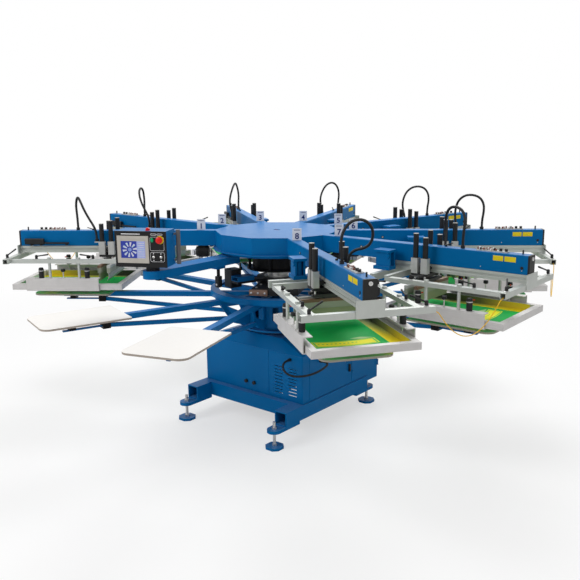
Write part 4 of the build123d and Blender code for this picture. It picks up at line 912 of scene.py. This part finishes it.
def alone(obj=None):
    """Back in object mode with nothing selected, or only this object."""
    if bpy.context.mode != "OBJECT":
        bpy.ops.object.mode_set(mode="OBJECT")
    bpy.ops.object.select_all(action="DESELECT")
    if obj:
        obj.select_set(True)
        bpy.context.view_layer.objects.active = obj


def in_edit(obj):
    """Edit mode on this object, with all of it selected."""
    alone(obj)
    bpy.ops.object.mode_set(mode="EDIT")
    bpy.ops.mesh.select_all(action="SELECT")


def raise_by(height):
    """Extrudes what is selected by so many mm along Z."""
    bpy.ops.mesh.extrude_region_move(TRANSFORM_OT_translate={"value": (0, 0, height * MM)})


def soften(edge):
    """Rounds the selected edges by so many mm."""
    bpy.ops.mesh.bevel(offset=edge * MM, segments=2, affect="EDGES")


def at(x, y, z=0.0):
    """The matrix that moves a piece to a place in mm."""
    return Matrix.Translation(Vector((x, y, z)) * MM)


def done(obj, paint, move=None):
    """Applies the place to the mesh, turns the faces outwards and gives the finish."""
    in_edit(obj)
    bpy.ops.mesh.normals_make_consistent(inside=False)
    alone(obj)
    bpy.ops.object.transform_apply(location=True, rotation=True, scale=True)
    if move is not None:
        obj.data.transform(move)
    give(obj, paint)
    return obj


def block(low, high, paint, edge=1.0, move=None):
    """A box between two corners in mm, with its edges rounded."""
    alone()
    size = [(b - a) * MM for a, b in zip(low, high)]
    middle = [(a + b) / 2 * MM for a, b in zip(low, high)]
    bpy.ops.mesh.primitive_cube_add(size=1.0, location=middle, scale=size)
    obj = bpy.context.object
    bpy.ops.object.transform_apply(location=False, rotation=False, scale=True)
    in_edit(obj)
    soften(edge)
    return done(obj, paint, move)


def disc(radius, height, sides):
    """A flat disc in mm, in edit mode and all selected."""
    alone()
    bpy.ops.mesh.primitive_circle_add(vertices=sides, radius=radius * MM, fill_type="NGON",
                                      location=(0, 0, height * MM))
    in_edit(bpy.context.object)
    return bpy.context.object


def turned(steps, paint, move=None, sides=24):
    """A round piece: a disc that is extruded from step to step, each a radius and a height in mm."""
    radius, height = steps[0]
    obj = disc(radius, height, sides)
    for next_radius, next_height in steps[1:]:
        raise_by(next_height - height)
        growth = next_radius / radius
        bpy.ops.transform.resize(value=(growth, growth, 1.0), center_override=(0, 0, next_height * MM))
        radius, height = next_radius, next_height
    return done(obj, paint, move)


def facing(place, direction):
    """The matrix that takes a piece from the origin, along Z, to a place in mm, along a direction."""
    return at(*place) @ Vector(direction).to_track_quat("Z", "Y").to_matrix().to_4x4()


def upright(turn):
    """The rotation that stands a flat piece up to face that way, with its own X to the right and Y up."""
    face = Vector((math.cos(turn), math.sin(turn), 0))
    return Matrix(((-face.y, face.x, 0), (0, 0, 1), face)).transposed().to_4x4()


SMOOTH_BELOW = math.radians(35)


def joined(parts, name):
    """The parts as one object, smooth where its faces meet softly."""
    alone(parts[0])
    for part in parts:
        part.select_set(True)
    if len(parts) > 1:
        bpy.ops.object.join()
    obj = bpy.context.object
    obj.name = obj.data.name = name
    bpy.ops.object.shade_smooth_by_angle(angle=SMOOTH_BELOW)
    return obj


def placed(obj, body=ROOT):
    """The object rides on that body."""
    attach(obj, body)
    print(obj.name, len(obj.data.polygons), "faces on", body)
    return obj


def head_turn(angle):
    """The matrix that takes a piece from a head along X to the head at that angle."""
    return Matrix.Translation((0, AXIS_Y, 0)) @ Matrix.Rotation(math.radians(angle), 4, "Z")


def on_heads(parts, name):
    """Copies a head's parts to all eight heads, each with a mesh of its own, and joins them."""
    first = joined(parts, name)
    copies = []
    for angle in HEAD_ANGLES[1:]:
        copy = first.copy()
        copy.data = first.data.copy()
        copy.data.transform(head_turn(angle))
        bpy.context.scene.collection.objects.link(copy)
        copies.append(copy)
    first.data.transform(head_turn(HEAD_ANGLES[0]))
    return placed(joined([first] + copies, name))


print("modelling helpers ready")

# %% [markdown]
# A flat sign stands on each arm with the station's number, so that an operator can name a head from any
# side. The number is text, made a mesh, and a plain bar above it stands where a maker's heading would be.

# %% Station numbers
SIGN_OUT, SIGN_FACES, SIGN_FOOT = 552.0, math.radians(308), 1380.0
DIGIT_TALL, DIGIT_FATTER, DIGIT_THICK = 0.054, 0.0012, 0.0004
numbers = []
for station, angle in enumerate(HEAD_ANGLES, 1):
    at_sign = Matrix.Translation(at_head(angle, SIGN_OUT, 0, SIGN_FOOT)) @ upright(SIGN_FACES)
    alone()
    bpy.ops.object.text_add()
    text = bpy.context.object
    text.data.body = str(station)
    text.data.size = DIGIT_TALL
    text.data.offset = DIGIT_FATTER
    text.data.extrude = DIGIT_THICK
    text.data.align_x = "CENTER"
    alone(text)
    bpy.ops.object.convert(target="MESH")
    text.data.transform(at_sign @ at(0, 9, 0.3))
    give(text, dark_blue)
    numbers += [text, block((-20, 65, -0.3), (20, 69, 0.7), dark_blue, 0.2, at_sign)]
placed(joined(numbers, "station_numbers"))

# %% [markdown]
# Two bare yellow plates are stuck side by side near each arm's outer end, on its right side as seen from
# the hub. They are thin, so they are blocks with a small edge.

# %% Yellow plates
PLATE_S, PLATE_Z = (-37.7, -36.8), (1334, 1364)
plates = [block((inner, PLATE_S[0], PLATE_Z[0]), (outer, PLATE_S[1], PLATE_Z[1]), label_yellow, 0.3)
          for inner, outer in ((1675, 1737), (1745, 1813))]
on_heads(plates, "arm_plates")

# %% [markdown]
# The switch strip on each arm is crowded with small plugs and valves in white, brown and black. They are
# modelled as short blocks and turned stubs of uneven height, from a seeded draw, so that each run gives
# the same ones.

# %% Strip fittings
STUBS, FIRST_STUB, STUB_PITCH, STRIP_Z = 12, 1564, 10.5, 1386
draw = Random(11)
stubs = []
for i in range(STUBS):
    r, s = FIRST_STUB + STUB_PITCH * i, draw.uniform(-15, 15)
    tall = draw.uniform(9, 17)
    paint = (brown, print_white, steel, brown, black_plastic)[draw.randrange(5)]
    if i % 3:
        stubs.append(block((r - 4, s - 5, STRIP_Z - 0.5), (r + 4, s + 5, STRIP_Z + tall), paint, 1.2))
    else:
        steps = [(4.5, STRIP_Z - 0.5), (4.5, STRIP_Z + tall - 3), (3, STRIP_Z + tall)]
        stubs.append(turned(steps, paint, at(r, s), 12))
on_heads(stubs, "strip_fittings")

# %% [markdown]
# Each end plate under the arm is held by two screws that are sunk nearly flush, and the arm's sides have
# two more. A screw is a turned head whose socket is inset and pushed in.


# %% Screws
def screw(place, direction, radius):
    """A cap screw whose head stands on a face, with a round socket."""
    head = turned([(radius, -0.3), (radius, 1.8), (radius * 0.86, 2.3)], steel, None, 18)
    in_edit(head)
    bpy.ops.mesh.select_all(action="DESELECT")
    alone(head)
    for face in head.data.polygons:
        face.select = face.normal.z > 0.99
    bpy.ops.object.mode_set(mode="EDIT")
    bpy.ops.mesh.inset(thickness=radius * 0.40 * MM)
    raise_by(-1.5)
    alone(head)
    head.data.transform(facing(place, direction))
    return head


screws = [screw((1899.7, s, 1262), (1, 0, 0), 5.5) for s in (-62, 62)]
screws += [screw((r, side * 37, 1290), (0, side, 0), 3.2) for side in (-1, 1) for r in (1851, 1600)]
on_heads(screws, "arm_screws")

# %% [markdown]
# The control panel's front has a red mushroom button on a yellow ring, an upright green oval button, two
# toggle switches with bright dots above and below, two thin white outlines round them and a red lamp on
# top. A matrix takes a piece from the panel's own axes, along its face, up and outward, to its place.

# %% Panel pieces
FACE, BUTTON_UP, TOGGLES_UP = 78.0, 173.0, 66.0
STOP_ALONG, START_ALONG = 86.0, 36.0
stop_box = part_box("estop_button")
panel_foot = (stop_box[0][2] + stop_box[1][2]) / 2 / MM - BUTTON_UP


def on_panel(along, up, out=FACE):
    """Along the face, up from the panel's foot and out from the swivel's axis, all in mm."""
    foot = Matrix.Translation((*PANEL_PLACE, panel_foot * MM))
    return foot @ upright(PANEL_TURN) @ at(along, up, out)


def outline(width, height, corner, line, paint, move):
    """A thin rounded frame: a plane with its corners rounded, inset, opened and made thick."""
    alone()
    bpy.ops.mesh.primitive_plane_add(size=1.0, location=(0, 0, 0))
    obj = bpy.context.object
    obj.scale = (width * MM, height * MM, 1.0)
    bpy.ops.object.transform_apply(location=False, rotation=False, scale=True)
    in_edit(obj)
    bpy.ops.mesh.bevel(offset=corner * MM, segments=5, affect="VERTICES")
    bpy.ops.mesh.inset(thickness=line * MM)
    bpy.ops.mesh.delete(type="FACE")
    bpy.ops.mesh.select_all(action="SELECT")
    raise_by(0.6)
    return done(obj, paint, move)


TOGGLE = [(8, -0.3), (8, 2), (5.5, 4), (3.2, 5), (2.4, 15), (3.2, 17), (2.0, 18.5)]
prints = [outline(92, 86, 10, 1.6, print_white, on_panel(65, 148)),
          outline(92, 60, 10, 1.6, print_white, on_panel(65, TOGGLES_UP)),
          block((-62, -2.5, -0.3), (62, 2.5, 0.6), print_white, 0.2, on_panel(-106, 207))]
prints += [outline(36, 11, 5, 2.2, print_white, on_panel(along, 206)) for along in (44, 84)]
for along in (40, 88):
    prints.append(turned(TOGGLE, steel, on_panel(along, TOGGLES_UP), 18))
    for up in (TOGGLES_UP - 21, TOGGLES_UP + 21):
        prints.append(block((-3, -3, -0.3), (3, 3, 0.7), print_white, 0.25, on_panel(along, up)))
at_stop, at_start = on_panel(STOP_ALONG, BUTTON_UP), on_panel(START_ALONG, BUTTON_UP)
prints += [turned([(24.5, -0.3), (25, 1), (25, 2.4), (22, 3)], label_yellow, at_stop, 36),
           turned([(6.4, -0.3), (6.4, 9)], steel, at_stop, 20),
           turned([(4.4, -0.3), (4.4, 4.2)], black_plastic, at_start, 16)]
placed(joined(prints, "panel_prints"), "control_panel")

panel_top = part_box("panel_enclosure")[1][2] / MM - panel_foot
on_top = on_panel(-6, panel_top, 40) @ Matrix.Rotation(-math.pi / 2, 4, "X")
lamp_cup = turned([(15, -0.3), (15, 3), (13.5, 4), (13.5, 13), (11, 16), (6, 17.5)], red_plastic, on_top, 24)
print("panel from z", round(panel_foot, 1), "and", round(panel_top, 1), "mm tall")
placed(joined([lamp_cup], "panel_lamp"), "control_panel")

# %% [markdown]
# The button heads move, so they are pieces of their own that ride on the buttons' bodies and stand for
# their solids. Each is turned in one go, from the recess that slides over its fixed stem to its crown,
# and the start button is then made oval. Each stands clear of the panel by more than it travels.

# %% Buttons
MUSHROOM = [(7, 14), (7, 7.4), (9, 7.2), (9, 8), (17, 10.5), (21, 13), (22, 17), (21, 22), (17, 25.5),
            (10, 27.4), (3, 27.9)]
OVAL = [(5.4, 7.5), (5.4, 3.5), (9.6, 3.4), (10, 4), (10, 8.6), (9, 9.9), (6, 10.4)]
mushroom = joined([turned(MUSHROOM, red_plastic, at_stop, 40)], "stop_mushroom")
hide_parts("estop_button")
placed(mushroom, "estop")
oval = turned(OVAL, green_plastic, at_start @ Matrix.Diagonal((0.95, 1.4, 1.0, 1.0)), 32)
oval = joined([oval], "start_oval")
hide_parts("start_button")
placed(oval, "start")

# %% [markdown]
# Each screen is held by four small air clamps, two knobs and six ratchet levers. A clamp is a black
# barrel with a bright ring on a steel rod, and an orange fitting that its air line would plug into. The
# levers are turned: a foot, a round hub and a handle that thickens to its end. An outline is radius and
# height, from the foot up.


# %% Clamps and levers
CLAMP_S, CLAMP_R, KNOB_R = 278.5, (1325, 1655), 1497
ROD = [(8, 1032), (8, 1036), (5, 1038), (5, 1071), (8, 1073), (8, 1077)]
BARREL = [(16.5, 1076), (18, 1078), (18, 1088), (16.8, 1089), (16.8, 1092), (18, 1093), (18, 1138),
          (16, 1144), (16, 1148), (13, 1150)]
RING = [(18.1, 1125.5), (18.7, 1126), (18.7, 1131), (18.1, 1131.5)]
AIR_FITTING = [(4.2, 14), (4.2, 24), (3.2, 25), (3.2, 29), (4.6, 30), (4.6, 33), (3.4, 34)]
GRIP = [(11, 1120), (15.5, 1123), (16, 1126), (16, 1138), (14, 1141.5), (8, 1142)]
LEVER_LONG = 92.0
HANDLE = [(5.5, 0), (4.6, 12), (4.4, LEVER_LONG * 0.45), (5.4, LEVER_LONG * 0.82), (5.8, LEVER_LONG - 5),
          (4.6, LEVER_LONG - 1.5), (2.4, LEVER_LONG)]


def air_clamp(r, s):
    """A rod, a barrel with a bright ring, an orange fitting that faces inwards and a square foot."""
    here = at(r, s)
    inward = -1 if s > 0 else 1
    return [turned(ROD, steel, here, 16), turned(BARREL, black_plastic, here, 28),
            turned(RING, steel, here, 28),
            turned(AIR_FITTING, orange, facing((r, s, 1136), (0.6, inward, 0)), 14),
            block((r - 9, s - 9, 1069), (r + 9, s + 9, 1077), aluminium, 1.5)]


def knob(r, s):
    """A nine-sided grip on a stem, with a six-sided nut below."""
    here = at(r, s)
    grip = turned(GRIP, black_plastic, here, 9)
    in_edit(grip)
    soften(1.6)
    alone(grip)
    return [grip, turned([(4, 1076), (4, 1121)], steel, here, 14),
            turned([(9, 1076), (9, 1079), (7.8, 1080)], steel, here, 6)]


def ratchet(place, direction):
    """A foot and a hub at a place in mm, with a handle that points along a direction."""
    x, y, z = place
    here = at(x, y, z)
    return [turned([(12, -0.2), (12, 3), (9, 5)], steel, here, 20),
            turned([(8, 4), (9.6, 6), (9.6, 26), (7, 30), (4, 31.5)], black_plastic, here, 16),
            turned(HANDLE, black_plastic, facing((x, y, z + 22), direction), 16)]


clamps = []
for side in (-1, 1):
    for r in CLAMP_R:
        clamps += air_clamp(r, side * CLAMP_S)
    clamps += knob(KNOB_R, side * CLAMP_S)
    clamps += ratchet((1879, side * 305, 1220), (-0.35, -side * 0.85, 0.36))
    clamps += ratchet((1275, side * 282, 1210), (1.0, side * 0.12, 0.16))
    clamps += ratchet((1680, side * 282, 1210), (-1.0, side * 0.12, 0.16))
clamp_set = on_heads(clamps, "clamp_set")
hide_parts("clamps_and_levers")

# %% [markdown]
# Under each arm, beside the hub, lies the small ribbed motor that drives the head's stroke: a barrel with
# cooling ribs, a foot that bolts it to the arm and a white terminal box on its end. The ribs are one
# turned outline.

# %% Stroke motors
MOTOR_Z, MOTOR_R, FIN_R = 1222, 38, 43.4
FIRST_FIN, FIN_PITCH, FINS = 508, 9.0, 8
casing = [(20, 498), (36, 499), (MOTOR_R, 502)]
for i in range(FINS):
    out = FIRST_FIN + FIN_PITCH * i
    casing += [(MOTOR_R, out), (FIN_R, out + 0.6), (FIN_R, out + 3.6), (MOTOR_R, out + 4.2)]
casing += [(MOTOR_R, 588), (35, 592), (22, 594)]
lying = at(0, 0, MOTOR_Z) @ Matrix.Rotation(math.pi / 2, 4, "Y")
motor = [turned(casing, black_plastic, lying, 40),
         turned([(20, 592), (20, 600), (16, 603)], steel, lying, 28),
         block((520, -26, MOTOR_Z + 30), (576, 26, 1268), black_paint, 2),
         block((596, -20, 1196), (628, 20, 1232), print_white, 3),
         block((600, -23, 1200), (606, 23, 1228), black_plastic, 1)]
on_heads(motor, "stroke_motors")

# %% [markdown]
# A slim post under the panel's arm carries the sensor that watches the carousel's rim. It is made of a
# foot, a post and a box, each with its own edge radius, and a turned cap over the sensor's eye.

# %% Sensor post
axis_shift = Matrix.Translation((0, AXIS_Y, 0))
at_post = axis_shift @ at(-130, -480)
sensor = [block((-32, -40, 1152), (32, 40, 1178.3), blue_paint, 3, at_post),
          block((-9, -8, 1097), (9, 8, 1153), black_paint, 1.5, at_post),
          block((-17, -19, 1019), (17, 19, 1098), black_plastic, 3, at_post),
          turned([(7, 0), (7, 4), (5, 5.5)], steel, at_post @ facing((0, -18.8, 1040), (0, -1, 0)), 18)]
placed(joined(sensor, "sensor_post"))

# %% [markdown]
# The hub's lower edge is stiffened by a flat ring that stands a little proud of its ten sides. Its disc
# is inset, opened and extruded. The slot in the hub's top plate shows the red and dark ends of the cables
# inside.


# %% Hub ring and slot
RING_INNER, RING_OUTER, RING_FOOT, RING_TALL = 430, 463, 1255.5, 6.5
ring = disc(RING_OUTER, RING_FOOT, 120)
bpy.ops.mesh.inset(thickness=(RING_OUTER - RING_INNER) * MM)
bpy.ops.mesh.delete(type="FACE")
bpy.ops.mesh.select_all(action="SELECT")
raise_by(RING_TALL)
placed(joined([done(ring, blue_paint, axis_shift)], "hub_ring"))

inside = [block((-27, -13, 1371.5), (27, 13, 1373.5), black_plastic, 0.6, axis_shift),
          block((-18, -9, 1373), (2, 7, 1377.5), red_plastic, 2, axis_shift),
          block((4, -10, 1373), (20, -3, 1376), orange, 2, axis_shift)]
placed(joined(inside, "hub_slot_cables"))

# %% [markdown]
# Inside the carousel's rim, on the lifting sleeve, lies the flat black gearbox of the indexer, with a
# bronze stop block on its outer face. The housing's outline is a disc that is cut straight on four sides,
# then made thick.

# %% Indexer housing
GEARBOX_TURN, GEARBOX_FOOT, GEARBOX_TALL, GEARBOX_R = 296.0, 975.0, 46.0, 410
GEARBOX_CUTS = (((383, 0, 0), (1, 0, 0)), ((120, 0, 0), (-1, 0, 0)), ((0, 229, 0), (0, 1, 0)),
                ((0, -89, 0), (0, -1, 0)))
LID = GEARBOX_FOOT + GEARBOX_TALL
on_drive = axis_shift @ Matrix.Rotation(math.radians(GEARBOX_TURN), 4, "Z")
housing = disc(GEARBOX_R, GEARBOX_FOOT, 96)
for place, outward in GEARBOX_CUTS:
    bpy.ops.mesh.select_all(action="SELECT")
    bpy.ops.mesh.bisect(plane_co=Vector(place) * MM, plane_no=outward, clear_outer=True, use_fill=False)
bpy.ops.mesh.select_all(action="SELECT")
raise_by(GEARBOX_TALL)
bpy.ops.mesh.select_all(action="SELECT")
bpy.ops.mesh.remove_doubles(threshold=0.2 * MM)
bpy.ops.mesh.normals_make_consistent(inside=False)
alone(housing)
rounding = housing.modifiers.new("edges", "BEVEL")
rounding.width = 3.5 * MM
rounding.segments = 2
rounding.limit_method = "ANGLE"
bpy.ops.object.modifier_apply(modifier=rounding.name)

bronze = moulded("bronze_block", (0.30, 0.185, 0.130), (0.22, 0.130, 0.095), 0.38)
drive = [done(housing, black_plastic, on_drive),
         block((382.5, -100, 976), (409, 28, 1016), bronze, 3, on_drive)]
for y in (-84, -36, 12):
    drive.append(turned([(7, 0), (7, 4), (5.5, 5)], steel, on_drive @ facing((408.6, y, 996), (1, 0, 0)), 18))
for x, y in ((350, -60), (350, 190), (240, 200), (240, -60), (180, 120)):
    drive.append(turned([(9, LID - 0.5), (9, LID + 5), (7.5, LID + 6.5)], steel, on_drive @ at(x, y), 18))
boss = [(60, LID - 0.5), (60, LID + 6), (55, LID + 9), (18, LID + 10), (18, LID + 15)]
drive.append(turned(boss, black_paint, on_drive @ at(285, 70), 40))
placed(joined(drive, "indexer_housing"), "lift")
